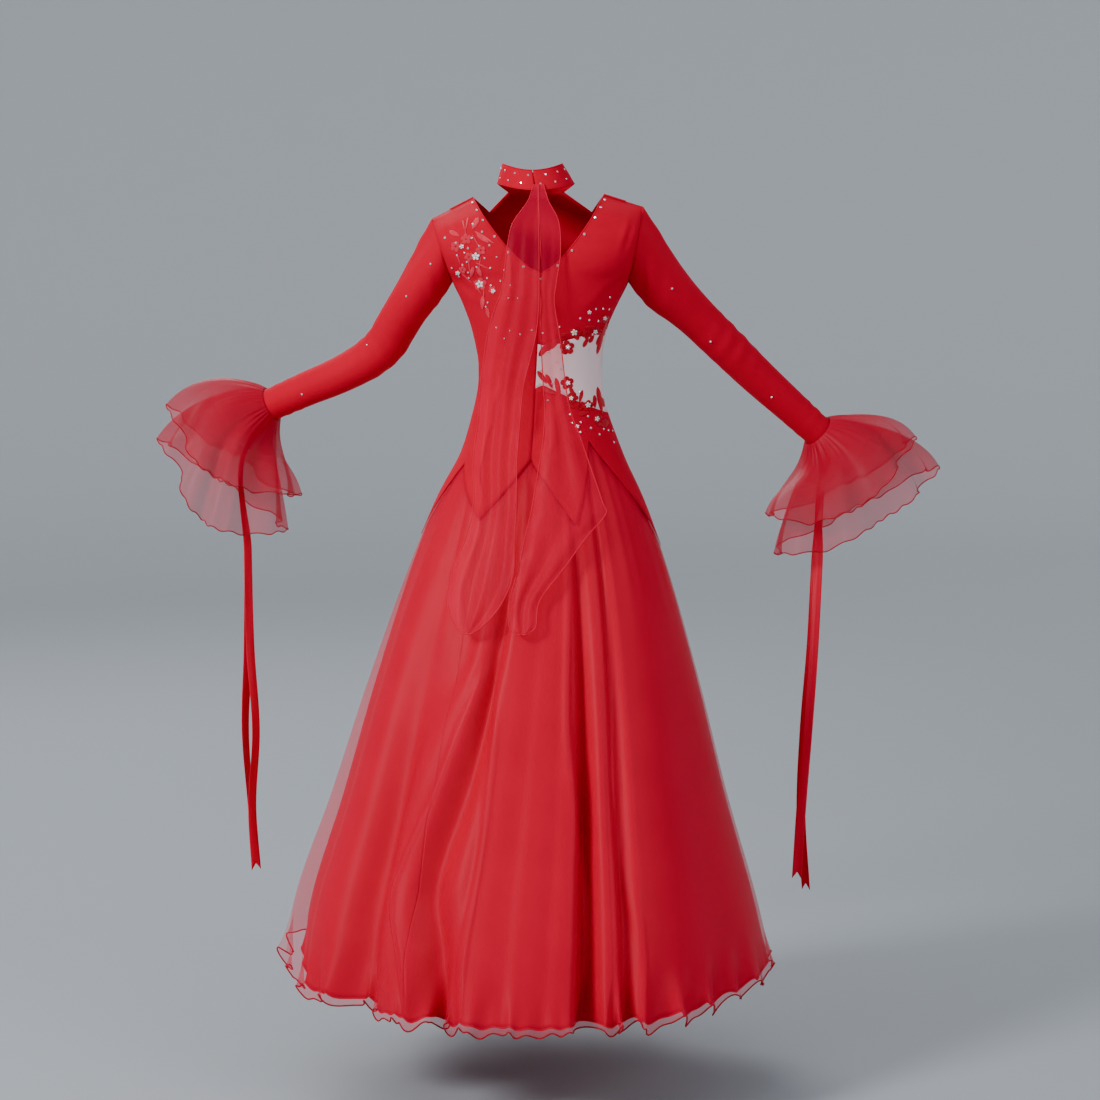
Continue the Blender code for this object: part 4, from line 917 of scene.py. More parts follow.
        # Each held column of the front meets every second of the collar solid's 32 columns
        turns = -math.pi - np.arange(-held, held + 1) * math.pi / 8
        under_collar = COLLAR.point(turns, 0.0)
        top = []
        for j, side in enumerate(sides):
            away = abs(j - centre)
            if away >= corner:
                share = (spread[j] - spread[centre + corner]) / (1 - spread[centre + corner])
                x = side.neck[0] + (side.tip[0] - side.neck[0]) * share
                top.append((side.sign * x, 0, side.neck[1] + (side.tip[1] - side.neck[1]) * share))
            elif away > held:
                y = -float(self.depth(side, *self.dip, self.dip_share, "front"))
                top.append((side.sign * self.dip[0], y, self.dip[1]))
            else:
                top.append(tuple(under_collar[j - centre + held]))
        top = np.array(top)
        bust = self.levels.column("front")[0]
        rows = []
        for share in np.linspace(0, 1, self.armhole_rows):
            row = []
            for j, side in enumerate(sides):
                start_x, start_z = abs(top[j, 0]), top[j, 2]
                x = start_x + (spread[j] * side.pit[0] - start_x) * share
                z = start_z + (bust + (side.pit[1] - bust) * spread[j] - start_z) * share
                if j in (0, len(sides) - 1):
                    x, z = side.armhole(share)
                y = -float(self.depth(side, x, z, share, "front"))
                if abs(j - centre) < corner:
                    edge_y = top[j, 1] + float(self.depth(side, start_x, start_z, 0.0, "front"))
                    y += edge_y * (1 - share) ** 2
                row.append((side.sign * x, y, z))
            rows.append(row)
        for level in range(1, len(self.levels.rows) + self.yoke_rows):
            z = self.heights(angles, seam, level, "front")
            points = OUTLINE.point(angles, z)
            points[:, 1] -= self.cup(points[:, 0], z) * np.abs(np.cos(angles))
            rows.append(points)
        return np.array([np.asarray(row) for row in rows])

    def creased(self, points: Array) -> Array:
        """Press soft creases in: bells across a short line, each its own way."""
        normals = grid_normals(points, False, TORSO)
        lift = np.zeros(points.shape[:2])
        back = points[..., 1] > 0
        for x, z, turn, length, width, height in self.creases.rows:
            away_x = points[..., 0] - x
            away_z = points[..., 2] - z
            a = math.radians(turn)
            along = away_x * math.cos(a) + away_z * math.sin(a)
            across = away_z * math.cos(a) - away_x * math.sin(a)
            pair = hump(across, 0, width) - hump(across, 1.6 * width, width)
            lift += height * hump(along, 0, length / 2) * pair
        tone = self.tone * ripple(points[..., 0] * 30 + points[..., 2] * 17, 1.0, 0.7)
        lift = lift * np.where(back, 1.0, self.front_creases)
        return points - normals * (lift + np.abs(tone))[..., None]

    def build(self, work: "Workroom") -> None:
        """Make the five panels, and the binding round the V back and the front's edge."""
        binding = []
        first = self.armhole_rows - 1
        for side in SIDES:
            last = -YOKE.first if side.sign > 0 else self.side_seam + self.lap
            columns = -side.sign * np.arange(0, last + 0.25, 0.5)
            grid = self.creased(refine_rows(self.back_rows(side, columns), self.fine))
            # The two halves stand a hair apart at the centre back
            grid[..., 0] += side.sign * 0.00015 * (np.abs(grid[..., 0]) < 0.02)
            edge = grid[:first * self.fine + 1, 0]
            normals = grid_normals(grid, False, TORSO)[:len(edge), 0]
            binding.append((edge - normals * self.thickness / 2, normals, False))
            work.seats.append(grid)
            if side.sign > 0:
                self.panel(work, "bodice_back_left", grid)
                continue
            cuts = [0, first + self.inset_top, first + self.inset_bottom, first + 9]
            names = ("bodice_back_right_upper", "waist_inset", "bodice_back_right_lower")
            for number, name in enumerate(names):
                part = grid[cuts[number] * self.fine:cuts[number + 1] * self.fine + 1]
                self.panel(work, name, part, sheer=name == "waist_inset")
        coarse = self.front_rows()
        fine = refine_across(coarse, self.fine)
        fine[0] = refine_across(coarse[:1], self.fine, straight=True)[0]
        angles, seam = YOKE.at(np.linspace(self.side_seam, YOKE.last, fine.shape[1]))
        fine[-1] = OUTLINE.point(angles, seam)
        grid = self.creased(refine_rows(fine, self.fine))
        self.panel(work, "bodice_front", grid)
        low, high = 4 * self.fine, grid.shape[1] - 4 * self.fine
        rim = grid[0, low:high]
        binding.append((rim, grid_normals(grid, False, TORSO)[0, low:high], False))
        work.note(rolls("neckline_binding", binding, self.binding_roll, JERSEY))
        for edge, _, _ in binding[:2]:
            self.neck_stones(edge, work)

    def panel(self, work: "Workroom", name: str, grid: Array, sheer: bool = False) -> None:
        """Make one panel, of jersey or of the sheer mesh."""
        label = name + ("_mesh" if sheer else "_jersey")
        piece = cloth_piece(label, grid, MESH if sheer else JERSEY, TORSO, thickness=self.thickness)
        work.cover(piece, name)

    def neck_stones(self, edge: Array, work: "Workroom") -> None:
        """Stones down one edge of the V, evenly spaced and a few millimetres in from it."""
        run = run_along(edge)
        at = np.linspace(self.gems_from, run[-1] - self.gems_to, self.neck_gems)
        spot = smooth(at, run, edge)
        x = spot[:, 0] + np.sign(spot[:, 0]) * self.gems_in
        work.seat_gems(x, spot[:, 2] - self.gems_down, self.gem_mm)


@dataclass
class Sleeves:
    """Two long close sleeves with creases at the elbow and the wrist."""

    thickness: float = 0.0012
    steps: int = 11
    blend: int = 4
    start_radius: float = 0.045
    fine: tuple[int, int] = (7, 5)
    hem_roll: float = 0.0010
    hem_in: float = 0.0006
    # Most that a crease stands out, and the creases by share down the sleeve
    highest: float = 0.0008
    folds: Table = Table("share width height waves bend start", (
        (0.50, 0.10, 0.0011, 95, 1.5, math.pi / 2 - 0.5),
        (0.93, 0.07, 0.001, 130, 1.2, 0),
        (0.1, 0.07, 0.0014, 70, 2, 1),
    ))
    arms: dict[str, Table] = named(
        left=Table("x y z radius", (
            (0.199, -0.035, -0.146, 0.0375),
            (0.232, -0.065, -0.197, 0.036),
            (0.271, -0.1, -0.256, 0.035),
            (0.334, -0.125, -0.297, 0.0315),
            (0.396, -0.15, -0.324, 0.0295),
            (0.472, -0.175, -0.358, 0.0275),
        )),
        right=Table("x y z radius", (
            (-0.208, -0.03, -0.146, 0.0375),
            (-0.259, -0.06, -0.197, 0.035),
            (-0.313, -0.09, -0.249, 0.0335),
            (-0.367, -0.12, -0.301, 0.0315),
            (-0.426, -0.15, -0.354, 0.029),
            (-0.484, -0.175, -0.406, 0.027),
        )),
    )

    def path(self, side: Side, loop: Array) -> tuple[Array, Array]:
        """Middles and radii along a sleeve, at equal steps from armhole to wrist."""
        table = self.arms[side.name]
        stations = np.stack([table.column(name) for name in "xyz"], -1)
        centres = np.concatenate([[loop.mean(axis=0)], stations])
        radii = np.concatenate([[self.start_radius], table.column("radius")])
        run = run_along(centres)
        at = np.linspace(0, run[-1], self.steps + 1)
        return smooth(at, run, centres), smooth(at, run, radii)

    def rings(self, side: Side, loop: Array) -> tuple[Array, tuple]:
        """Rings of a sleeve, turning from the armhole's shape to round, and its wrist."""
        centres, radii = self.path(side, loop)
        tangents = unit(np.gradient(centres, axis=0))
        upright = unit(loop[0] - loop[6])
        turn = np.linspace(0, 2 * math.pi, len(loop), endpoint=False)
        rings = []
        for k, (centre, tangent, radius) in enumerate(zip(centres, tangents, radii)):
            top = unit(upright - tangent * np.dot(upright, tangent))
            back = np.cross(tangent, top) * -side.sign
            back = -back if back[1] < 0 else back
            ring = centre + radius * (np.outer(np.cos(turn), top) + np.outer(np.sin(turn), back))
            share = eased(min(1.0, k / self.blend))
            rings.append((loop + centre - centres[0]) * (1 - share) + ring * share)
        return np.array(rings), (centres[-1], tangents[-1], top, back, radii[-1])

    def build(self, work: "Workroom", bodice: Bodice) -> dict[str, tuple]:
        """Make both sleeves, and give back each wrist's middle, directions and radius."""
        wrists = {}
        for side in SIDES:
            coarse, wrist = self.rings(side, bodice.armhole_loop(side))
            grid = refine_ring(refine_rows(coarse, self.fine[0]), self.fine[1])
            away = unit(grid - grid.mean(axis=1, keepdims=True))
            down = np.linspace(0, 1, len(grid))[:, None]
            round_it = np.linspace(0, 2 * math.pi, grid.shape[1], endpoint=False)[None, :]
            folds = np.zeros(grid.shape[:2])
            for share, width, height, waves, bend, start in self.folds.rows:
                wave = np.sin(waves * down + bend * np.sin(round_it + start))
                folds += height * hump(down, share, width) * wave
            folds = folds * (0.55 + 0.45 * ripple(round_it + down * 3, 1.0, side.sign))
            grid = grid + away * np.minimum(folds, self.highest)[..., None]
            name = "sleeve_" + side.name
            flip = np.array(wrist[0]) * 0.5 + grid[0].mean(axis=0) * 0.5
            piece = cloth_piece(name + "_jersey", grid, JERSEY, flip, closed=True, thickness=self.thickness)
            normals = grid_normals(grid, True, flip)
            if np.sum(normals * away) < 0:
                piece.data.flip_normals()
            line = grid[-1] - away[-1] * self.hem_in
            hem = rolls(name + "_hem", [(line, away[-1], True)], self.hem_roll, JERSEY)
            work.cover(piece, name, extras=[hem])
            work.seats.append(np.concatenate([grid, grid[:, :1]], axis=1))
            wrists[side.name] = wrist
        return wrists


@dataclass
class Cuffs:
    """Two gathered organza flounces at each wrist."""

    overlap: float = 0.009
    columns: int = 360
    rows: int = 30
    waves: int = 7
    wave: float = 0.012
    roll: float = 0.0010
    # How far each sheet stands off the sleeve, and a reach to a place inside the flounce
    apart: float = 0.0015
    inside: float = 0.05
    # The curve's last handle, as shares of the reach back towards the wrist and upwards
    arrive_back: float = 0.15
    arrive_up: float = 0.25
    # Small waves: how many, how far they wander, how slowly, and their height
    edge: tuple[float, ...] = (19, 1.3, 5, 0.0022)
    gather: tuple[float, ...] = (31, 1.7, 7, 0.0007)
    hem_rise: tuple[float, ...] = (23, 2.4, 4, 0.0020)
    # Extra cover of the cloth where it is gathered, and how fast it falls off
    dense: float = 0.44
    dense_fall: float = 1.6
    spring: dict[str, float] = named(inner=0.26, outer=0.48)
    spread: dict[str, float] = named(inner=0.7, outer=1.1)
    # Places of each hem from the wrist's middle, at eight equal steps round from its top
    hems: dict[tuple[str, str], Table] = field(default_factory=lambda: {
        ("left", "outer"): Table("out back up", (
            (0.164, -0.005, -0.004), (0.14, 0.06, -0.052), (0.087, 0.105, -0.11), (0.018, 0.1, -0.136),
            (-0.054, 0.035, -0.15), (-0.016, -0.05, -0.15), (0.064, -0.1, -0.096), (0.13, -0.07, -0.052))),
        ("left", "inner"): Table("out back up", (
            (0.182, -0.005, -0.061), (0.15, 0.045, -0.113), (0.112, 0.08, -0.186), (0.041, 0.08, -0.213),
            (-0.029, 0.02, -0.211), (0.006, -0.05, -0.19), (0.092, -0.085, -0.136), (0.158, -0.06, -0.086))),
        ("right", "outer"): Table("out back up", (
            (0.158, -0.005, -0.008), (0.128, 0.06, -0.05), (0.065, 0.105, -0.111), (-0.022, 0.1, -0.144),
            (-0.096, 0.035, -0.135), (-0.056, -0.05, -0.138), (0.05, -0.105, -0.1), (0.132, -0.07, -0.046))),
        ("right", "inner"): Table("out back up", (
            (0.199, -0.005, -0.058), (0.166, 0.045, -0.095), (0.103, 0.08, -0.139), (0.01, 0.08, -0.191),
            (-0.08, 0.02, -0.205), (-0.043, -0.05, -0.19), (0.072, -0.085, -0.136), (0.158, -0.06, -0.084))),
    })

    def around(self, turn: Array, table: Table, name: str) -> Array:
        """Closed cubic curve through a table that goes once round."""
        at = 360.0 * np.arange(len(table.rows)) / len(table.rows)
        at = np.concatenate([at - 360, at, at + 360])
        return smooth(np.degrees(turn), at, np.tile(table.column(name), 3))

    def heart(self, wrist: tuple) -> Array:
        """A place inside a flounce, which its cloth faces away from."""
        return wrist[0] + wrist[1] * self.inside - np.array([0, 0, self.inside])

    def grid(self, side: Side, layer: str, wrist: tuple) -> Array:
        """Points of a flounce: a cubic Bezier from the wrist to the hem at each column."""
        centre, tangent, top, back, radius = wrist
        depth = 1 if layer == "inner" else 2
        turn = np.linspace(0, 2 * math.pi, self.columns, endpoint=False)
        radial = np.outer(np.cos(turn), top) + np.outer(np.sin(turn), back)
        start = centre - tangent * self.overlap + radial * (radius + depth * self.apart)
        table = self.hems[(side.name, layer)]
        out, behind, up = (self.around(turn, table, key) for key in ("out", "back", "up"))
        hem = np.stack([side.sign * out, behind, up], axis=-1) + centre
        reach = np.linalg.norm(hem - start, axis=1)[:, None]
        leave = start + unit(self.spread[layer] * radial + tangent) * reach * self.spring[layer]
        arrive = hem + unit(start - hem) * reach * self.arrive_back
        arrive = arrive + np.array([0, 0, self.arrive_up]) * reach
        v = np.linspace(0, 1, self.rows)[:, None, None]
        grid = (1 - v) ** 3 * start + 3 * v * (1 - v) ** 2 * leave
        grid = grid + 3 * v * v * (1 - v) * arrive + v ** 3 * hem
        normals = grid_normals(grid, True, self.heart(wrist))
        down = v[..., 0]
        phase = self.waves * turn + 0.45 * np.sin(3 * turn + side.sign)
        flute = np.sin(phase) + 0.25 * np.sin(2 * phase + 1.0)
        edge = wandering(turn, *self.edge[:3], depth) * self.edge[3]
        gather = wandering(turn, *self.gather[:3]) * self.gather[3]
        gather = gather * (1 - down) ** 3 * np.minimum(1, down * 12)
        lift = flute * self.wave * down ** 1.6 + edge * down ** 6 + gather
        grid = grid + normals * lift[..., None]
        grid[..., 2] += self.hem_rise[3] * wandering(turn, *self.hem_rise[:3]) * down ** 6
        return grid

    def build(self, work: "Workroom", wrists: dict[str, tuple]) -> None:
        """Make the four flounces with their rolled hems."""
        for side in SIDES:
            for layer in ("inner", "outer"):
                name = f"cuff_{side.name}_{layer}"
                wrist = wrists[side.name]
                grid = self.grid(side, layer, wrist)
                middle = self.heart(wrist)
                v = np.linspace(0, 1, self.rows)[:, None]
                # The cuffs take the organza copy whose darker colour is painted shade
                piece = cloth_piece(name + "_organza", grid, SHADED_CUFF_ORGANZA, middle, closed=True,
                                    gathers=self.dense * (1 - v) ** self.dense_fall)
                normals = grid_normals(grid, True, middle)
                hem = rolls(name + "_hem", [(grid[-1], normals[-1], True)], self.roll, ROLLED)
                work.cover(piece, name, extras=[hem])


@dataclass
class Skirt:
    """Organza godets over satin ones, in six gores each, with curled rolled hems."""

    back_drop: float = 0.022
    growth: float = 0.8
    roll: float = 0.0013
    crease: float = 2.0
    fine: dict[str, float] = named(outer=0.0625, under=0.125)
    soften: dict[str, float] = named(outer=0.0028, under=0.0080)
    bottom: dict[str, float] = named(outer=1.0, under=0.989)
    # Rows of each layer above the hem's waves, and through them
    steps: dict[str, tuple[int, int]] = named(outer=(40, 34), under=(26, 20))
    waves_from: float = 0.8
    satin_wall: float = 0.0008
    satin_waves: float = 0.75
    # How far the satin stands inside the organza: at the seam, at the hem, more at the left
    satin_in: tuple[float, float, float] = (0.0015, 0.0045, 0.038)
    # Depths of the small gathers under the seam and of the slow sway below them
    gather_depth: float = 0.0016
    sway_depth: float = 0.0020
    # Hem waves out from the dress, along it and up, each with its small ones
    wave_out: tuple[float, float] = (0.0120, 0.0022)
    wave_along: float = 0.0060
    wave_up: tuple[float, float] = (0.0110, 0.0038)
    # Rise of the left hem, extra cover of the gathers at the seam, and how clear the left is
    left_rise: float = 0.036
    seam_cover: float = 0.16
    left_clear: float = 0.10
    gores: tuple[int, ...] = (-20, -6, 6, 24, 38, 50, 64)
    names: tuple[str, ...] = (
        "back_left", "back_centre", "back_right", "front_right", "front_centre", "front_left")
    folds: Table = Table("column hem_angle depth press", (
        (-20, 90, 0, 1), (-17, 75, 0.014, 1), (-14, 60, 0, 1), (-10, 45, 0.03, 1.7),
        (-6, 31, 0, 1), (-3, 23, 0.026, 1.7), (0, 17, 0, 1), (2, 9, 0.01, 0.5),
        (3, 5, 0.004, 0.5), (4, 0, 0.009, 0.4), (5, -5, 0, 1), (6, -11, 0.036, 1.4),
        (8, -17, 0, 1), (10, -21, 0.012, 1.8), (12, -26, 0, 1), (18, -55, 0.012, 1),
        (24, -90, 0, 1), (28, -107, 0.02, 1.4), (32, -124, 0, 1), (38, -150, 0.032, 1.4),
        (41, -163, 0, 1), (44, -180, 0.014, 1.4), (47, -197, 0, 1), (50, -210, 0.032, 1.4),
        (56, -236, 0, 1), (60, -253, 0.02, 1.4), (64, -270, 0, 1)))
    # How far the lapped gore's fold leans off its column, by share down
    lean: Table = Table("v shift", (
        (0, -4), (0.29, -4.6), (0.39, -2.2), (0.53, -0.15), (0.67, 1.45), (0.75, 1.97), (0.86, 0.8),
        (1, 0)))
    # Lapped edges of gores: the column and depth by share down, then which side is dark and how wide
    laps: tuple[tuple[Table, int, float], ...] = (
        (Table("v column depth", (
            (0.16, 0.6, 0), (0.29, -0.8, 0.002), (0.39, -3.8, 0.007), (0.53, -5.85, 0.014),
            (0.67, -7.45, 0.018), (0.75, -7.97, 0.018), (0.86, -6.8, 0.015), (1, -5.6, 0.012))), 1, 0.045),
        (Table("v column depth", (
            (0.1, -2.4, 0), (0.33, -1.7, 0.005), (0.55, -1, 0.009), (0.71, -0.8, 0.01),
            (0.87, -1.2, 0.01), (1, -1, 0.008))), 1, 0.022),
        (Table("v column depth", (
            (0.1, 5.3, 0.004), (0.25, 5.1, 0.008), (0.41, 5.1, 0.011), (0.57, 5.7, 0.012),
            (0.74, 6.4, 0.012), (0.86, 6.5, 0.011), (1, 5.7, 0.008))), -1, 0.018),
        (Table("v column depth", (
            (0.1, 10.2, 0.004), (0.25, 9.8, 0.007), (0.41, 9.4, 0.008), (0.56, 9, 0.008),
            (0.72, 9.7, 0.007), (0.87, 11, 0.005), (1, 11.3, 0.003))), 1, 0.010),
        (Table("v column depth", (
            (0.05, 38, 0), (0.3, 38.4, 0.006), (0.6, 38, 0.01), (1, 37.2, 0.01))), 1, 0.030),
        (Table("v column depth", (
            (0.05, 50, 0), (0.35, 50.5, 0.007), (0.7, 49.6, 0.01), (1, 50.4, 0.008))), -1, 0.026))

    def fold(self, columns: Array) -> Array:
        """Fold depth at some columns, eased between ridges."""
        at = self.folds.column("column")
        depth = self.folds.column("depth") * self.folds.column("press")
        left = np.clip(np.searchsorted(at, columns, side="right") - 1, 0, len(at) - 2)
        t = (columns - at[left]) / (at[left + 1] - at[left])
        rising = depth[left + 1] > depth[left]
        inside = np.where(rising, t, 1 - t)
        ease = ((1 - np.cos(math.pi * inside)) / 2) ** self.crease
        low = np.minimum(depth[left], depth[left + 1])
        high = np.maximum(depth[left], depth[left + 1])
        return low + (high - low) * ease

    def lapped(self, layer: str, points: Array, columns: Array, rows: Array) -> Array:
        """Depth of the lapped edges: a steep step, then a slow rise on its dark side.

        Args:
            layer: outer or under.
            points: the layer's points before the laps.
            columns: its columns.
            rows: its shares of the way down.

        Returns:
            Inward depth at each point: the edge's own depth times the falling exponential of
            the distance on the dark side, less a low bell on the lit side.
        """
        width = np.linalg.norm(np.gradient(points, columns, axis=1), axis=-1)
        total = np.zeros(points.shape[:2])
        for table, dark, spread in self.laps:
            line = table.curve(rows, "v", "column")[:, None]
            deep = table.line(rows, "v", "depth")[:, None]
            away = (columns[None, :] - line) * width * dark
            step = 1 / (1 + np.exp(np.clip(away / self.soften[layer], -40, 40)))
            fall = np.exp(-np.maximum(-away, 0) / spread)
            total += deep * (fall * step - 0.30 * hump(away, 0.010, 0.009))
        return total

    def grid(self, layer: str, columns: Array, rows: Array) -> Array:
        """Points of a skirt layer.

        Args:
            layer: outer or under.
            columns: columns round the skirt.
            rows: shares of the way down from the zigzag seam, one or less at the hem.

        Returns:
            Points on the outline, pressed in by the folds and waved near the hem.
        """
        v = rows[:, None]
        seam_angle, seam_z = YOKE.at(columns)
        hem_angle = np.radians(self.folds.line(columns, "column", "hem_angle"))
        shift = self.lean.line(rows, "v", "shift")[:, None] * hump(columns, -5, 4)
        depth = self.fold(np.clip(columns + shift, YOKE.first, YOKE.last - 0.001))
        turn = 2 * math.pi * (columns - YOKE.first) / (YOKE.last - YOKE.first)
        hem_z = OUTLINE.hem_z - self.back_drop * np.clip(np.cos(hem_angle), 0, 1)
        angle = seam_angle + (hem_angle - seam_angle) * v
        z = seam_z + (hem_z - seam_z) * v
        near = np.clip((v - 0.88) / 0.12, 0, 1) ** 1.5
        left_side = self.near_angle(hem_angle, 103, 27)
        at_seam, at_hem, at_left = self.satin_in
        inset = 0.0 if layer == "outer" else at_seam + (at_hem + at_left * left_side) * v
        size = 1.0 if layer == "outer" else self.satin_waves
        gathered = hump(v, 0.10, 0.16) * (0.6 + 0.4 * ripple(turn, 31.0, 2.0))
        soft = -self.gather_depth * (1 + ripple(turn, 26.0, 0.3)) * gathered
        soft = soft - self.sway_depth * (1 + ripple(turn, 9.0, 2.2)) * v
        uneven = 0.70 + 0.60 * ripple(turn, 5.0, 1.3)
        phase = 38 * turn + 1.9 * ripple(turn, 9.0, 0.3)
        small = np.sin(83 * turn + 2.2 * ripple(turn, 14.0, 0.9))
        large_out, small_out = self.wave_out
        wave = size * (large_out * np.sin(phase) * uneven + small_out * small * near) * near
        points = OUTLINE.point(angle, z)
        radius = np.linalg.norm(points[..., :2], axis=-1)
        pressed = depth * v ** self.growth + self.lapped(layer, points, columns, rows)
        scale = (radius - pressed - inset + wave + soft - 0.0015) / radius
        points[..., :2] *= scale[..., None]
        level = unit(np.stack([-points[..., 1], points[..., 0]], -1))
        points[..., :2] += level * (size * self.wave_along * np.cos(phase) * near ** 2)[..., None]
        large_up, small_up = self.wave_up
        points[..., 2] += size * (large_up * np.sin(phase + 0.7) * uneven + small_up * small) * near ** 2
        points[..., 2] += self.left_rise * self.near_angle(hem_angle, 106, 13) * v ** 3
        return points

    @staticmethod
    def near_angle(angle: Array, middle: float, width: float) -> Array:
        """A bell of the way round from an angle in radians to a middle in degrees."""
        away = (angle - math.radians(middle) + math.pi) % (2 * math.pi) - math.pi
        return hump(away, 0, math.radians(width))

    def build(self, work: "Workroom") -> None:
        """Make the gores of both layers and one rolled hem for each layer."""
        middle = np.array([0, 0, -0.2])
        looks = (("outer", "organza", ORGANZA, ROLLED, 0.0),
                 ("under", "satin", SATIN, SATIN, self.satin_wall))
        for layer, cloth, finish, edging, wall in looks:
            body, hem = self.steps[layer]
            rows = np.concatenate([np.linspace(0, self.waves_from, body, endpoint=False),
                                   np.linspace(self.waves_from, self.bottom[layer], hem)])
            step = self.fine[layer]
            paths = []
            for name, first, last in zip(self.names, self.gores, self.gores[1:]):
                columns = np.arange(first, last + step / 2, step)
                grid = self.grid(layer, columns, rows)
                label = f"skirt_{layer}_{name}"
                hem_angle = np.radians(self.folds.line(columns, "column", "hem_angle"))
                density = self.seam_cover * np.exp(-rows / 0.05)[:, None]
                density = density - self.left_clear * self.near_angle(hem_angle, 103, 24)[None, :]
                piece = cloth_piece(f"{label}_{cloth}", grid, finish, middle, thickness=wall,
                                    gathers=density if layer == "outer" else None)
                work.cover(piece, label)
                paths.append(grid[-1, :-1])
            ring = np.concatenate(paths)
            tangent = np.gradient(np.concatenate([ring[-1:], ring, ring[:1]]), axis=0)[1:-1]
            side = unit(np.cross(tangent, np.array([0, 0, 1.0])))
            work.note(rolls(f"skirt_{layer}_hem", [(ring, side, True)], self.roll, edging))


@dataclass
class Floats:
    """Two organza floats, gathered to the collar at the centre back."""

    columns: int = 72
    rows: int = 170
    fold: float = 0.007
    roll: float = 0.0009
    # Heights of the small creases and of the ripples down the edges, and their spacing
    fine: float = 0.0010
    curl: float = 0.0024
    curl_waves: float = 105
    clear: float = 0.0006
    # Gap to the collar, the extra cover where the cloth is gathered, and its fall
    on_collar: float = 0.0018
    dense: float = 0.40
    dense_fall: float = 0.06
    edges: dict[str, Table] = named(
        left=Table("z left right", (
            (0.02, 0.011, 0.0035), (-0.008, 0.021, 0.0035), (-0.041, 0.044, 0.003), (-0.075, 0.053, 0.002),
            (-0.146, 0.062, 0.002), (-0.184, 0.075, 0.003), (-0.228, 0.087, 0.008), (-0.306, 0.098, 0.027),
            (-0.363, 0.102, 0.033), (-0.427, 0.11, 0.038), (-0.498, 0.109, 0.039), (-0.553, 0.122, 0.042),
            (-0.607, 0.146, 0.044), (-0.654, 0.15, 0.064), (-0.686, 0.141, 0.092), (-0.7, 0.126, 0.112))),
        right=Table("z left right", (
            (0.02, 0.0025, -0.005), (-0.008, 0.0025, -0.014), (-0.041, 0.001, -0.03),
            (-0.091, -0.001, -0.033), (-0.14, -0.001, -0.026), (-0.172, -0.001, -0.023),
            (-0.228, -0.001, -0.032), (-0.294, -0.004, -0.04), (-0.343, -0.007, -0.048),
            (-0.39, -0.005, -0.065), (-0.43, 0.001, -0.079), (-0.493, 0.012, -0.101),
            (-0.514, 0.016, -0.106), (-0.553, 0.026, -0.071), (-0.592, 0.034, -0.042), (-0.646, 0.049, 0),
            (-0.686, 0.05, 0.007), (-0.699, 0.037, 0.021))),
    )
    waves: dict[str, float] = named(left=2.5, right=2.0)
    drape: Table = Table("z depth half_width", (
        (-0.01, 0.07, 0.11), (-0.05, 0.089, 0.165), (-0.13, 0.105, 0.175), (-0.25, 0.104, 0.16),
        (-0.35, 0.108, 0.155), (-0.43, 0.126, 0.165), (-0.5, 0.153, 0.2), (-0.6, 0.193, 0.24),
        (-0.72, 0.238, 0.285)))

    def depth(self, x: Array, z: Array) -> Array:
        """Depth of a float: on the collar at the top, then clear of the back."""
        deep = self.drape.curve(z, "z", "depth")
        share = np.clip(np.abs(x) / self.drape.curve(z, "z", "half_width"), 0, 0.98) ** OUTLINE.square_body
        hanging = deep * (1 - share) ** (1 / OUTLINE.square_body)
        held = eased(np.clip((z + 0.004) / 0.014, 0, 1))
        return hanging * (1 - held) + (COLLAR.depth_over(x, z) + self.on_collar) * held

    def grid(self, name: str) -> Array:
        """Points of one float: across between its edges, folded, and rippled down its edges."""
        table = self.edges[name]
        at = np.linspace(0, len(table.rows) - 1, self.rows)
        knots = np.arange(len(table.rows))
        z, left, right = (smooth(at, knots, table.column(key))[:, None] for key in ("z", "left", "right"))
        share = np.linspace(0, 1, self.columns + 1)[None, :]
        x = left + (right - left) * share
        z = z + 0 * x
        down = np.clip(-z / 0.30, 0, 1)
        width = np.clip((left - right) / 0.060, 0, 1)
        fold = self.fold * down * width * (1 - np.cos(2 * math.pi * self.waves[name] * share)) / 2
        seed = 1.0 if name == "left" else 4.0
        fine = self.fine * (1 + ripple(share * 3 + z * 6, 2.4, seed)) * down * width
        edge = np.exp(-share / 0.10) + np.exp(-(1 - share) / 0.10)
        curl = self.curl * np.sin(z * self.curl_waves + seed) * edge * down * width
        return np.stack([x, self.depth(x, z) + fold + fine + curl + self.clear, z], axis=-1)

    def build(self, work: "Workroom") -> None:
        """Make both floats, with a rolled hem round three sides."""
        for name in self.edges:
            grid = self.grid(name)
            down = np.linspace(0, 1, self.rows)[:, None]
            piece = cloth_piece(f"float_{name}_organza", grid, FLOAT_ORGANZA, TORSO,
                                gathers=self.dense * np.exp(-down / self.dense_fall))
            normals = grid_normals(grid, False, TORSO)
            path = np.concatenate([grid[:, 0], grid[-1, 1:-1], grid[::-1, -1]])
            side = np.concatenate([normals[:, 0], normals[-1, 1:-1], normals[::-1, -1]])
            hem = rolls(f"float_{name}_hem", [(path, side, False)], self.roll, NARROW_HEM)
            work.cover(piece, f"float_{name}", extras=[hem])


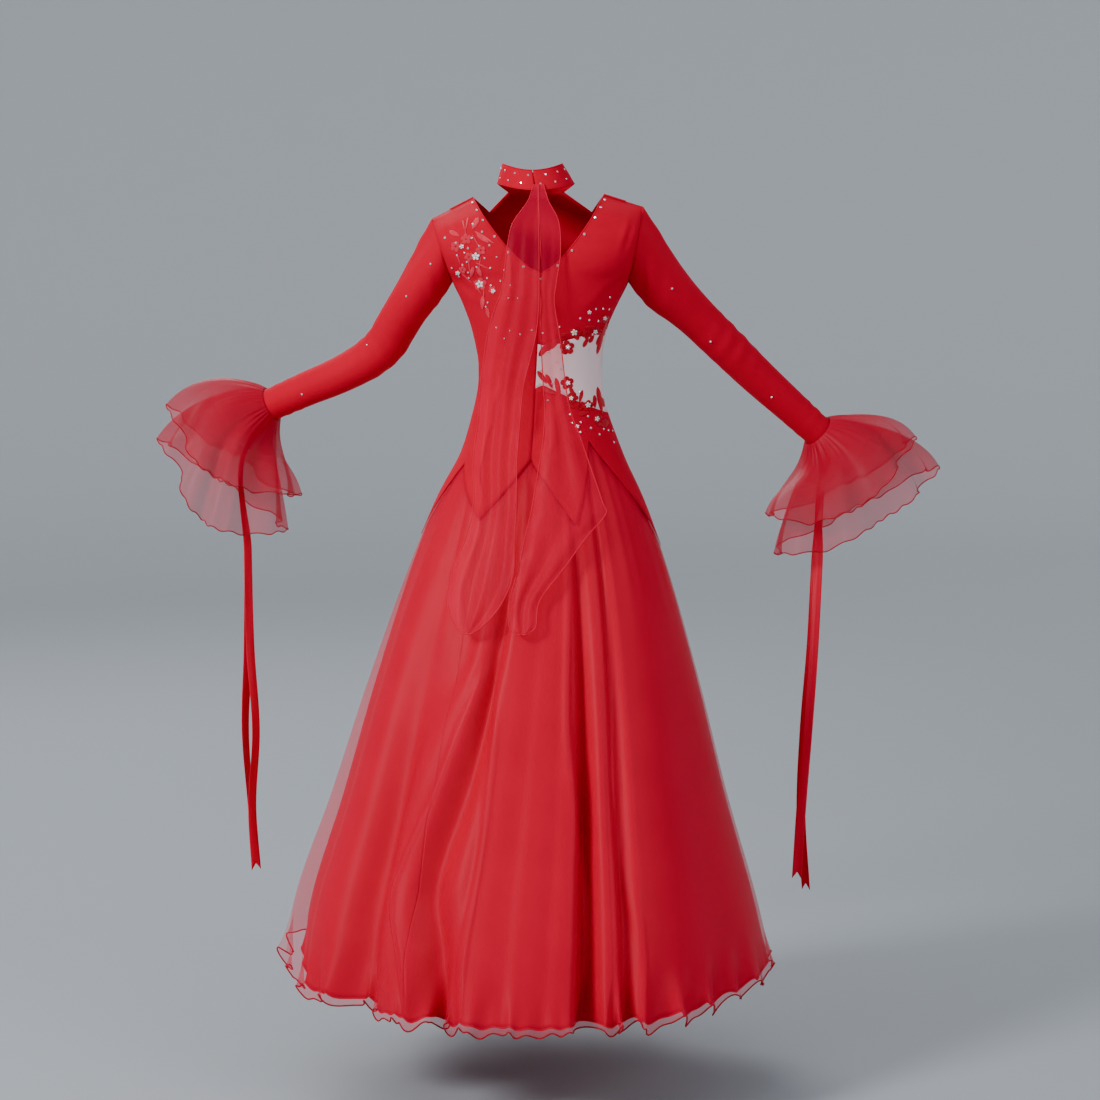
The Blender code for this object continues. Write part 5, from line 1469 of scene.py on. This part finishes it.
@dataclass
class Ribbons:
    """Two satin ribbons at each wrist, cut in a swallow tail."""

    width: float = 0.017
    notch: float = 0.012
    thickness: float = 0.0006
    lean: float = 40.0
    across: int = 9
    rows: int = 130
    bow: float = 0.0010
    # How far inside the sleeve's outer face the ribbons start
    inside: float = 0.0028
    starts: Table = Table("along share drop", (
        (-0.012, 0.93, 0), (0.006, 0.93, 0), (0.022, 0.95, 0.012)))
    strands: dict[tuple[str, str], Table] = field(default_factory=lambda: {
        ("left", "front"): Table("drop out back turn", (
            (0.07, 0.036, 0.006, 10), (0.25, 0.034, 0.02, 40), (0.42, 0.036, 0.024, 55),
            (0.56, 0.042, 0.024, 40), (0.7, 0.034, 0.022, 30), (0.79, 0.028, 0.02, 35))),
        ("left", "back"): Table("drop out back turn", (
            (0.07, 0.034, 0.028, 20), (0.25, 0.033, 0.036, 45), (0.42, 0.03, 0.04, 50),
            (0.56, 0.022, 0.04, 45), (0.7, 0.03, 0.04, 50), (0.806, 0.024, 0.04, 65))),
        ("right", "front"): Table("drop out back turn", (
            (0.07, 0, 0.006, 20), (0.22, -0.008, 0.014, 60), (0.36, -0.014, 0.018, 70),
            (0.52, -0.026, 0.02, 60), (0.66, -0.03, 0.02, 60), (0.798, -0.02, 0.02, 50))),
        ("right", "back"): Table("drop out back turn", (
            (0.07, 0, 0.028, 30), (0.22, -0.006, 0.034, 70), (0.36, -0.012, 0.038, 75),
            (0.52, -0.022, 0.04, 70), (0.66, -0.032, 0.04, 75), (0.774, -0.038, 0.04, 80))),
    })

    def grid(self, side: Side, strand: str, wrist: tuple) -> Array:
        """Points of a ribbon: its middle line, and its width turned step by step."""
        centre, tangent, top, back, radius = wrist
        lean = math.radians(self.lean) * (-1 if strand == "front" else 1)
        inside = radius - self.inside
        away = -top * math.cos(lean) + back * math.sin(lean)
        width = top * math.sin(lean) + back * math.cos(lean)
        path = [centre + tangent * a + away * inside * s - np.array([0, 0, d])
                for a, s, d in self.starts.rows]
        widths = [width] * len(path)
        for drop, out, behind, turn in self.strands[(side.name, strand)].rows:
            path.append(centre + np.array([side.sign * out, behind, -drop]))
            angle = math.radians(turn)
            widths.append(np.array([side.sign * math.sin(angle), math.cos(angle), 0]))
        path = np.array(path)
        run = run_along(path)
        s = np.linspace(-1, 1, self.across)[None, :]
        t = np.linspace(0, 1, self.rows)[:, None]
        at = t * (run[-1] - self.notch * (1 - np.abs(s)))
        middle = smooth(at, run, path)
        across = unit(smooth(at, run, np.array(widths)))
        along = unit(np.gradient(middle, axis=0))
        across = unit(across - along * np.sum(across * along, axis=-1, keepdims=True))
        bow = np.cross(along, across) * (self.bow * (1 - s ** 2) * np.sin(at * 23))[..., None]
        return middle + across * (s * self.width / 2)[..., None] + bow

    def build(self, work: "Workroom", wrists: dict[str, tuple]) -> None:
        """Make the four ribbons."""
        for side in SIDES:
            for strand in ("front", "back"):
                grid = self.grid(side, strand, wrists[side.name])
                name = f"ribbon_{side.name}_{strand}"
                piece = cloth_piece(name + "_satin", grid, SATIN, TORSO, thickness=self.thickness)
                piece.modifiers["wall"].offset = 0
                work.cover(piece, name)


@dataclass
class Lace:
    """Sprays of satin-stitched leaves and blossoms, with sequin flowers and stones."""

    # Steps of a leaf along and across, and how high its dome stands in millimetres
    along: int = 13
    across: int = 7
    dome: float = 0.55
    # How far the leaves and the sequins stand off the cloth in millimetres
    lift: float = 0.5
    sequin_lift: float = 1.2
    # Widths of blossom and sequin petals, as shares of their length
    petal_width: float = 0.78
    sequin_width: float = 0.62
    # Flat size of one leaf on the finish's map
    leaf_map: tuple[float, float] = (0.012, 0.006)
    # How much fuller the waist's leaves are than their tables say
    fuller: float = 1.35
    # Leaves run from a tip to a base, all in millimetres on the back, seen from behind
    leaves: dict[str, Table] = field(default_factory=lambda: {
        "applique_shoulder": Table("x z base_x base_z width", (
            (127, -38, 123, -56, 3), (118, -33, 122, -56, 3), (101, -34, 111, -53, 9),
            (149, -56, 132, -64, 8), (108, -56, 75, -76, 5), (104, -60, 84, -75, 8),
            (123, -54, 120, -69, 2.2), (121, -66, 131, -80, 2.2), (112, -60, 97, -86, 2.2),
            (109, -114, 114, -131, 7), (103, -114, 96, -130, 7), (94, -161, 95, -184, 7.5),
            (88, -180, 84, -198, 6), (136, -92, 131, -110, 2.4), (106, -107, 84, -117, 2.4),
            (118, -98, 114, -130, 2), (97, -96, 101, -125, 2), (130, -124, 112, -140, 2.4),
            (110, -136, 96, -160, 2.4), (92, -150, 93, -172, 2.2))),
        "applique_waist_upper": Table("x z base_x base_z width", (
            (3, -260, -18, -234, 7), (-9, -252, -26, -232, 6), (-17, -248, -32, -229, 5),
            (-70, -246, -79, -229, 5), (-80, -239, -88, -226, 5), (-93, -259, -105, -212, 5.5),
            (-92, -243, -102, -222, 4.5), (-103, -230, -109, -204, 5), (-31, -226, -47, -224, 5),
            (-62, -234, -56, -220, 6), (-73, -214, -92, -212, 5), (-96, -206, -107, -193, 5))),
        "applique_waist_lower": Table("x z base_x base_z width", (
            (5, -284, -11, -305, 6), (-9, -289, -20, -313, 5.5), (-25, -295, -32, -328, 6),
            (-2, -313, -26, -322, 6), (-69, -316, -64, -337, 4.5), (-89, -325, -90, -347, 5),
            (-94, -312, -102, -357, 6), (-99, -329, -106, -347, 5), (-48, -311, -56, -326, 5),
            (-40, -336, -56, -345, 5), (-62, -356, -80, -352, 6), (-92, -372, -112, -376, 5))),
    })
    # Blossoms: middle in millimetres, and the length of a petal
    blossoms: dict[str, Table] = field(default_factory=lambda: {
        "applique_shoulder": Table("x z petal turn", (
            (121, -69, 9, 10), (138, -81, 9, 40), (97, -87, 8.5, 5), (116, -98, 8, 60),
            (98, -142, 11, 20), (127, -119, 6.5, 30), (78, -152, 7, 50))),
        "applique_waist_upper": Table("x z petal turn", (
            (-44, -246, 12.5, 12), (-57, -222, 10.5, 40), (-93, -219, 8.5, 20), (-76, -224, 9, 55),
            (-106, -200, 7.5, 10), (-32, -233, 8, 30))),
        "applique_waist_lower": Table("x z petal turn", (
            (-44, -304, 11.5, 8), (-53, -328, 9.5, 40), (-79, -342, 9.5, 20), (-66, -342, 8, 50),
            (-94, -364, 8, 15), (-106, -372, 7, 35))),
    })
    flowers: Table = Table("x z petal turn gold", (
        (128, -81, 4, 0, 0), (105, -97, 6.5, 18, 0), (135, -124, 4, 30, 0), (99, -142, 6.5, 5, 1),
        (77, -153, 4, 40, 0), (-80, -188, 3.6, 20, 0), (-55, -221, 5.5, 10, 1), (-45, -245, 4.2, 30, 0),
        (-90, -221, 4, 50, 0), (-45, -304, 4.2, 0, 0), (-50, -329, 3.8, 25, 1), (-78, -341, 4.6, 12, 0),
        (-93, -364, 4.2, 40, 0), (-60, -375, 3.6, 5, 0), (-106, -199, 3.6, 33, 0)))
    stones: Table = Table("x z size", (
        (156, -67, 2.2), (138, -75, 1.9), (118, -84, 1.9), (100, -80, 1.7), (112, -67, 1.9), (95, -57, 1.9),
        (83, -79, 1.9), (110, -45, 2), (124, -91, 1.6), (136, -95, 1.7), (91, -100, 1.8), (120, -106, 1.6),
        (104, -114, 1.6), (82, -116, 1.8), (145, -116, 2), (127, -111, 1.8), (118, -123, 1.7),
        (133, -130, 1.6), (117, -132, 1.8), (87, -132, 1.8), (81, -144, 1.8), (86, -172, 1.6),
        (89, -179, 1.8), (71, -98, 1.5), (59, -119, 1.5), (65, -137, 1.5), (-1, -133, 1.9), (49, -144, 1.4),
        (52, -165, 1.4), (37, -165, 1.4), (72, -213, 1.6), (50, -218, 1.5), (33, -224, 1.7), (14, -217, 1.5),
        (-4, -222, 1.7), (59, -231, 1.5), (-114, -164, 1.7), (-91, -183, 1.8), (-103, -183, 1.8),
        (-113, -184, 1.8), (-65, -198, 1.9), (-80, -201, 1.8), (-95, -203, 1.8), (-31, -212, 1.6),
        (-13, -253, 1.8), (-27, -269, 1.6), (-34, -281, 1.5), (-80, -249, 1.8), (-1, -283, 1.7),
        (-19, -305, 1.6), (-12, -332, 1.7), (-48, -355, 1.6), (-52, -369, 1.6), (-66, -368, 1.9),
        (-78, -359, 1.9), (-83, -378, 1.9), (-104, -381, 1.8), (-112, -384, 1.7), (-119, -386, 1.8),
        (-97, -389, 1.9), (-65, -384, 1.9), (-121, -404, 2), (-64, -319, 1.6), (181, -110, 2),
        (223, -164, 2), (408, -334, 1.9), (293, -248, 1.6), (-218, -151, 2), (-285, -241, 2),
        (-393, -338, 2)))

    def leaf(self, work: "Workroom", rows: Array, lift: float) -> tuple[Array, Array]:
        """Raised lens shapes seated on the back.

        Args:
            work: the workroom, which knows where the cloth lies.
            rows: tip x, tip z, base x, base z and width of each leaf, in metres.
            lift: how far their edges stand off the cloth, in millimetres.

        Returns:
            Points and faces: half width falls off as the root of the distance from the
            middle, and the height is a dome over both.
        """
        s = np.linspace(-1, 1, self.along)[:, None]
        t = np.linspace(-1, 1, self.across)[None, :]
        half = np.maximum(1 - s ** 2, 0.0) ** 0.65 * (1 - 0.25 * s)
        tip, base = rows[:, None, None, 0:2], rows[:, None, None, 2:4]
        middle = (tip + base) / 2
        along = (base - tip) / 2
        across = unit(np.stack([-along[..., 1], along[..., 0]], -1))
        wide = across * (half * t)[..., None] * rows[:, None, None, 4:5] / 2
        flat = middle + along * s[..., None] + wide
        dome = (1 - t ** 2) * np.minimum(1, 2.2 * (1 - s ** 2))
        vein = 0.35 * hump(t, 0, 0.12)
        height = np.broadcast_to((lift + self.dome * (dome - vein * dome)) * MM, flat.shape[:-1])
        points, _ = work.seat(flat[..., 0].ravel(), flat[..., 1].ravel(), height.ravel())
        first = np.arange(len(rows)) * self.along * self.across
        faces = quads(self.along, self.across, False)[None] + first[:, None, None]
        return points, faces.reshape(-1, 4)

    def petals(self, table: Table, width: float) -> Array:
        """Rows for the leaves that make up five-petalled blossoms, their width a share."""
        x, z, petal, turn = (table.column(name)[:, None] for name in ("x", "z", "petal", "turn"))
        angle = np.radians(turn + np.arange(5)[None, :] * 72)
        out = np.stack([x + petal * np.cos(angle), z + petal * np.sin(angle)], -1)
        near = np.stack([x + 0.12 * petal * np.cos(angle), z + 0.12 * petal * np.sin(angle)], -1)
        size = np.broadcast_to(petal * width, angle.shape)[..., None]
        return np.concatenate([out, near, size], -1).reshape(-1, 5)

    def stitched(self, name: str, rows: Array, work: "Workroom", finish: Cloth | Glint,
                 thick: float, lift: float) -> Piece:
        """One piece of many raised leaves, with a wall of its own thickness."""
        points, faces = self.leaf(work, rows * MM, lift)
        mesh = bpy.data.meshes.new(name)
        mesh.from_pydata(points, [], faces)
        s, t = np.meshgrid(np.linspace(0, self.leaf_map[0], self.along),
                           np.linspace(0, self.leaf_map[1], self.across), indexing="ij")
        uv = np.stack([t.ravel(), s.ravel()], -1)[(faces % (self.along * self.across)).ravel()]
        mesh.uv_layers.new(name="cloth").data.foreach_set("uv", uv.astype(np.float32).ravel())
        if area_ways(points, faces)[:, 1].sum() < 0:
            mesh.flip_normals()
        mesh.shade_smooth()
        piece = link(mesh, finish)
        thicken(piece, thick)
        return piece

    def build(self, work: "Workroom") -> None:
        """Make each spray, then the sequin flowers, gold beads and stones."""
        for node_name, table in self.leaves.items():
            rows = np.stack([table.column(key) for key in table.names.split()], -1)
            if "waist" in node_name:
                rows[:, 4] *= self.fuller
            rows = np.concatenate([rows, self.petals(self.blossoms[node_name], self.petal_width)])
            finish = STITCH_LIGHT if "shoulder" in node_name else STITCH
            piece = self.stitched(node_name + "_stitching", rows, work, finish, 0.6 * MM, self.lift)
            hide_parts(node_name)
            work.note(piece)
        petals = self.petals(self.flowers, self.sequin_width)
        work.note(self.stitched("sequin_flowers", petals, work, SEQUIN, 0.3 * MM, self.sequin_lift))
        x, z = self.flowers.column("x") * MM, self.flowers.column("z") * MM
        spot, normal = work.seat(x, z, np.full(len(x), 1.5 * MM))
        gold = self.flowers.column("gold") > 0
        work.gems.append((spot[~gold], normal[~gold], np.full(int((~gold).sum()), 1.3 * MM)))
        work.beads.append((spot[gold], normal[gold], np.full(int(gold.sum()), 1.8 * MM)))
        x, z, size = (self.stones.column(key) for key in ("x", "z", "size"))
        work.seat_gems(x * MM, z * MM, size)


@dataclass
class Workroom:
    """Keeps what the pieces share: where the cloth lies, its cuts, and the stones to set."""

    cuts: dict[str, Cut]
    seats: list[Array] = field(default_factory=list)
    gems: list[tuple[Array, Array, Array]] = field(default_factory=list)
    beads: list[tuple[Array, Array, Array]] = field(default_factory=list)
    made: int = 0
    # Least backward share of a face's direction that still takes a stone or a leaf
    steepest: float = 0.12
    # Half width of the body: beyond it only the sleeves are met
    body_half: float = 0.16
    # Depth from which the nearest cloth is sought, beside the body
    beside: float = 0.05

    def note(self, piece: Piece) -> None:
        """Count and report a piece."""
        self.made += 1
        LOG.info("%s: %d faces", piece.name, len(piece.data.polygons))

    def cover(self, piece: Piece, node_name: str,
              extras: list[Piece] | None = None) -> None:
        """Hide the solid that a sheet stands for, and count the sheet and its extras."""
        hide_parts(node_name)
        self.cuts[node_name].declare(piece, extras or [])
        self.note(piece)
        for extra in extras or []:
            self.note(extra)

    def back_tree(self) -> BVHTree:
        """A search tree of the cloth's faces that can be seen from behind."""
        points: list[Array] = []
        faces: list[Array] = []
        count = 0
        for grid in self.seats:
            squares = quads(*grid.shape[:2], False)
            cloth = grid.reshape(-1, 3)
            ways = unit(area_ways(cloth, squares))
            middles = cloth[squares].mean(axis=1)
            behind = (middles[:, 1] > 0) | (np.abs(middles[:, 0]) > self.body_half)
            faces.append(squares[behind & (np.abs(ways[:, 1]) > self.steepest)] + count)
            points.append(cloth)
            count += len(cloth)
        return BVHTree.FromPolygons(np.concatenate(points).tolist(), np.concatenate(faces).tolist())

    def seat(self, x: Array, z: Array, height: Array) -> tuple[Array, Array]:
        """Places on the back of the cloth at x and z.

        Args:
            x: across.
            z: up.
            height: how far to stand off the cloth.

        Returns:
            Points and normals, where a line from behind first meets the cloth, or else on
            the nearest cloth.
        """
        tree = self.back_tree()
        forwards = Vector((0, -1, 0))
        spots = np.empty((len(x), 3))
        ways = np.empty((len(x), 3))
        for k in range(len(x)):
            spot, way, face, _ = tree.ray_cast(Vector((x[k], 1.0, z[k])), forwards)
            if face is None:
                spot, way, face, _ = tree.find_nearest(Vector((x[k], self.beside, z[k])))
            spots[k] = spot
            ways[k] = way if way.y > 0 else -way
        return spots + ways * height[:, None], ways

    def seat_gems(self, x: Array, z: Array, size_mm: Array | float) -> None:
        """Set stones on the back of the cloth at x and z."""
        size = np.broadcast_to(np.asarray(size_mm, float) * MM, x.shape)
        spot, normal = self.seat(x, z, np.full(len(x), 0.9 * MM))
        self.gems.append((spot, normal, size))

    def set_stones(self, name: str, groups: list[tuple[Array, Array, Array]], finish: Glint) -> None:
        """Cut stones as one piece: eight-sided rings from girdle to table on each seat.

        Args:
            name: the piece's name.
            groups: places, normals and radii.
            finish: of the stones.
        """
        spot = np.concatenate([g[0] for g in groups])
        normal = np.concatenate([g[1] for g in groups])
        size = np.concatenate([g[2] for g in groups])
        first = unit(np.cross(normal, np.array([0.31, 0.2, 0.93])))
        second = np.cross(normal, first)
        sides = 8
        profile = np.array([(0.80, -0.45), (1.0, -0.10), (0.92, 0.12), (0.52, 0.50)])
        # The two upper rings are turned by half a side, as on a cut stone
        turned = np.array([0, 0, 1, 1])[:, None] * math.pi / sides
        turn = np.linspace(0, 2 * math.pi, sides, endpoint=False)[None, :] + turned
        u = (profile[:, :1] * np.cos(turn)).ravel()
        v = (profile[:, :1] * np.sin(turn)).ravel()
        w = np.repeat(profile[:, 1], sides)
        local = u[None, :, None] * first[:, None] + v[None, :, None] * second[:, None]
        local = local + w[None, :, None] * normal[:, None]
        points = (spot[:, None] + local * size[:, None, None]).reshape(-1, 3)
        count = len(profile) * sides
        ring = quads(len(profile), sides, True).tolist()
        ring.append(list(range(sides)))
        ring.append(list(range(count - 1, count - 1 - sides, -1)))
        faces = [[corner + k * count for corner in face] for k in range(len(spot)) for face in ring]
        mesh = bpy.data.meshes.new(name)
        mesh.from_pydata(points, [], faces)
        outward(mesh)
        self.note(link(mesh, finish))


@dataclass
class Studio:
    """Pale floor and round backdrop, soft lights and the camera."""

    floor_z: float = -1.488
    # The paper's colour is painted light and shade: darker on the floor round the dress, where the lamps
    # fall, and lighter out on the wall, which they hardly reach, changing between these two distances from
    # the middle
    shaded_floor_colour: str = "A0A6AC"
    lit_wall_colour: str = "DADEE2"
    painted_light_from: float = 2.5
    painted_light_to: float = 9.0
    camera_place: tuple[float, float, float] = (-0.0158, 5.0, -0.03)
    pitch: float = 6.37
    focal_px: float = 3000.0
    frame_px: float = 1100.0
    sensor: float = 36.0
    target: tuple[float, float, float] = (0.0, 0.0, -0.6)
    surround: str = "E4E8EE"
    surround_strength: float = 0.60
    # x, y, z, size and power of each soft light
    lamps: Table = Table("x y z size power", (
        (3.8, 3.2, 2, 1.4, 280), (-3.4, 3.6, 1.2, 2.6, 70), (0.6, 1.2, 3.9, 2.4, 24),
        (1.4, -3.6, 2.2, 2.4, 90)))

    def backdrop(self) -> None:
        """A round floor that curves up into a wall: a profile turned about the upright axis."""
        bend = np.linspace(0, math.pi / 2, 17)
        radius = np.concatenate([[0.0, 2.0, 4.0, 6.0, 8.0], 8.5 + 3.0 * np.sin(bend), [11.5]])
        height = np.concatenate([[0.0] * 5, 3.0 - 3.0 * np.cos(bend), [9.0]])
        turn = np.linspace(0, 2 * math.pi, 96, endpoint=False)
        points = np.stack([radius[1:, None] * np.cos(turn), radius[1:, None] * np.sin(turn),
                           self.floor_z + height[1:, None] + 0 * turn], -1)
        flat = np.concatenate([points.reshape(-1, 3), [[0, 0, self.floor_z]]])
        faces = quads(len(points), len(turn), True).tolist()
        hub = len(flat) - 1
        faces += [[hub, j, (j + 1) % len(turn)] for j in range(len(turn))]
        mesh = bpy.data.meshes.new("studio_floor")
        mesh.from_pydata(flat, [], faces)
        mesh.shade_smooth()
        made = fresh_material("studio_paper")
        tree = made.node_tree
        place = node(tree, "ShaderNodeTexCoord").outputs["Object"]
        # Painted light and shade: the colour turns from the darker floor to the lighter wall with distance
        # from the middle
        away = node(tree, "ShaderNodeVectorMath", {0: place}, operation="LENGTH")
        share = node(tree, "ShaderNodeMapRange", {
            "Value": away.outputs["Value"], "From Min": self.painted_light_from, "From Max": self.painted_light_to},
            interpolation_type="SMOOTHSTEP")
        tone = blend(tree, share.outputs[0], self.shaded_floor_colour, self.lit_wall_colour)
        shader = node(tree, "ShaderNodeBsdfPrincipled", {"Base Color": tone, "Roughness": 0.8})
        node(tree, "ShaderNodeOutputMaterial", {"Surface": shader.outputs[0]})
        mesh.materials.append(made)
        floor = bpy.data.objects.new("studio_floor", mesh)
        bpy.context.scene.collection.objects.link(floor)

    def build(self) -> None:
        """Make the backdrop, lights, surrounding light and camera."""
        self.backdrop()
        target = Vector(self.target)
        for number, (x, y, z, size, power) in enumerate(self.lamps.rows):
            light = bpy.data.lights.new(f"soft_light_{number}", "AREA")
            light.shape = "DISK"
            light.size = size
            light.energy = power
            lamp = bpy.data.objects.new(light.name, light)
            lamp.location = (x, y, z)
            lamp.rotation_euler = (target - lamp.location).to_track_quat("-Z", "Y").to_euler()
            bpy.context.scene.collection.objects.link(lamp)
        world = bpy.data.worlds.new("soft_surround")
        world.use_nodes = True
        sky = world.node_tree.nodes["Background"].inputs
        sky["Color"].default_value = linear(self.surround)
        sky["Strength"].default_value = self.surround_strength
        bpy.context.scene.world = world
        data = bpy.data.cameras.new("photo_view")
        data.sensor_width = self.sensor
        data.lens = self.focal_px / self.frame_px * self.sensor
        camera = bpy.data.objects.new("photo_view", data)
        camera.location = self.camera_place
        camera.rotation_euler = (math.radians(90 - self.pitch), 0, math.pi)
        bpy.context.scene.collection.objects.link(camera)
        bpy.context.scene.camera = camera


# The flat cuts, by how they are held: name, width, length, area, and what holds each
HELD: dict[str, tuple[tuple[str, float, float, float, str], ...]] = {
    "stretched": (
        ("collar", 0.37, 0.036, 0.0125, "bodice_front_jersey"),
        ("bodice_front", 0.44, 0.56, 0.185, "sleeve_left_jersey sleeve_right_jersey"),
        ("bodice_back_left", 0.22, 0.56, 0.080, "bodice_front_jersey"),
        ("bodice_back_right_upper", 0.20, 0.25, 0.036, "bodice_front_jersey"),
        ("waist_inset", 0.16, 0.14, 0.017, "bodice_back_right_upper_jersey"),
        ("bodice_back_right_lower", 0.24, 0.24, 0.033, "waist_inset_mesh"),
        ("sleeve_left", 0.24, 0.46, 0.092, "bodice_back_left_jersey"),
        ("sleeve_right", 0.24, 0.50, 0.100, "bodice_back_right_upper_jersey"),
    ),
    "gathered": (
        ("cuff_left_inner", 0.80, 0.20, 0.105, "sleeve_left_jersey"),
        ("cuff_left_outer", 0.85, 0.17, 0.092, "sleeve_left_jersey"),
        ("cuff_right_inner", 0.85, 0.20, 0.108, "sleeve_right_jersey"),
        ("cuff_right_outer", 0.85, 0.17, 0.090, "sleeve_right_jersey"),
        ("float_left", 0.16, 0.74, 0.060, "collar_jersey"),
        ("float_right", 0.14, 0.74, 0.048, "collar_jersey"),
    ),
    "hung": (
        ("skirt_outer_back_left", 0.50, 0.95, 0.28, "bodice_back_left_jersey"),
        ("skirt_outer_back_centre", 0.45, 0.95, 0.24, "bodice_back_left_jersey"),
        ("skirt_outer_back_right", 0.70, 0.97, 0.36, "bodice_back_right_lower_jersey"),
        ("skirt_outer_front_right", 0.50, 0.92, 0.27, "bodice_front_jersey"),
        ("skirt_outer_front_centre", 0.50, 0.92, 0.29, "bodice_front_jersey"),
        ("skirt_outer_front_left", 0.50, 0.92, 0.28, "bodice_front_jersey"),
        ("skirt_under_back_left", 0.46, 0.92, 0.24, "bodice_back_left_jersey"),
        ("skirt_under_back_centre", 0.40, 0.92, 0.20, "bodice_back_left_jersey"),
        ("skirt_under_back_right", 0.62, 0.94, 0.31, "bodice_back_right_lower_jersey"),
        ("skirt_under_front_right", 0.46, 0.90, 0.23, "bodice_front_jersey"),
        ("skirt_under_front_centre", 0.46, 0.90, 0.25, "bodice_front_jersey"),
        ("skirt_under_front_left", 0.46, 0.90, 0.24, "bodice_front_jersey"),
        ("ribbon_left_front", 0.017, 0.82, 0.0136, "sleeve_left_jersey"),
        ("ribbon_left_back", 0.017, 0.83, 0.0138, "sleeve_left_jersey"),
        ("ribbon_right_front", 0.017, 0.82, 0.0136, "sleeve_right_jersey"),
        ("ribbon_right_back", 0.017, 0.80, 0.0133, "sleeve_right_jersey"),
    ),
}
CUTS = {name: Cut(width, length, area, held, tuple(holders.split()))
        for held, group in HELD.items() for name, width, length, area, holders in group}


def main() -> None:
    """Build every class in order."""
    logging.basicConfig(level=logging.INFO, format="%(name)s: %(message)s")
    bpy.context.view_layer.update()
    work = Workroom(CUTS)
    Collar().build(work)
    bodice = Bodice()
    bodice.build(work)
    wrists = Sleeves().build(work, bodice)
    Cuffs().build(work, wrists)
    Skirt().build(work)
    Floats().build(work)
    Ribbons().build(work, wrists)
    Lace().build(work)
    work.set_stones("rhinestones", work.gems, CRYSTAL)
    work.set_stones("gold_beads", work.beads, GOLD)
    Studio().build()
    LOG.info("%d pieces", work.made)


if __name__ == "__main__":
    main()
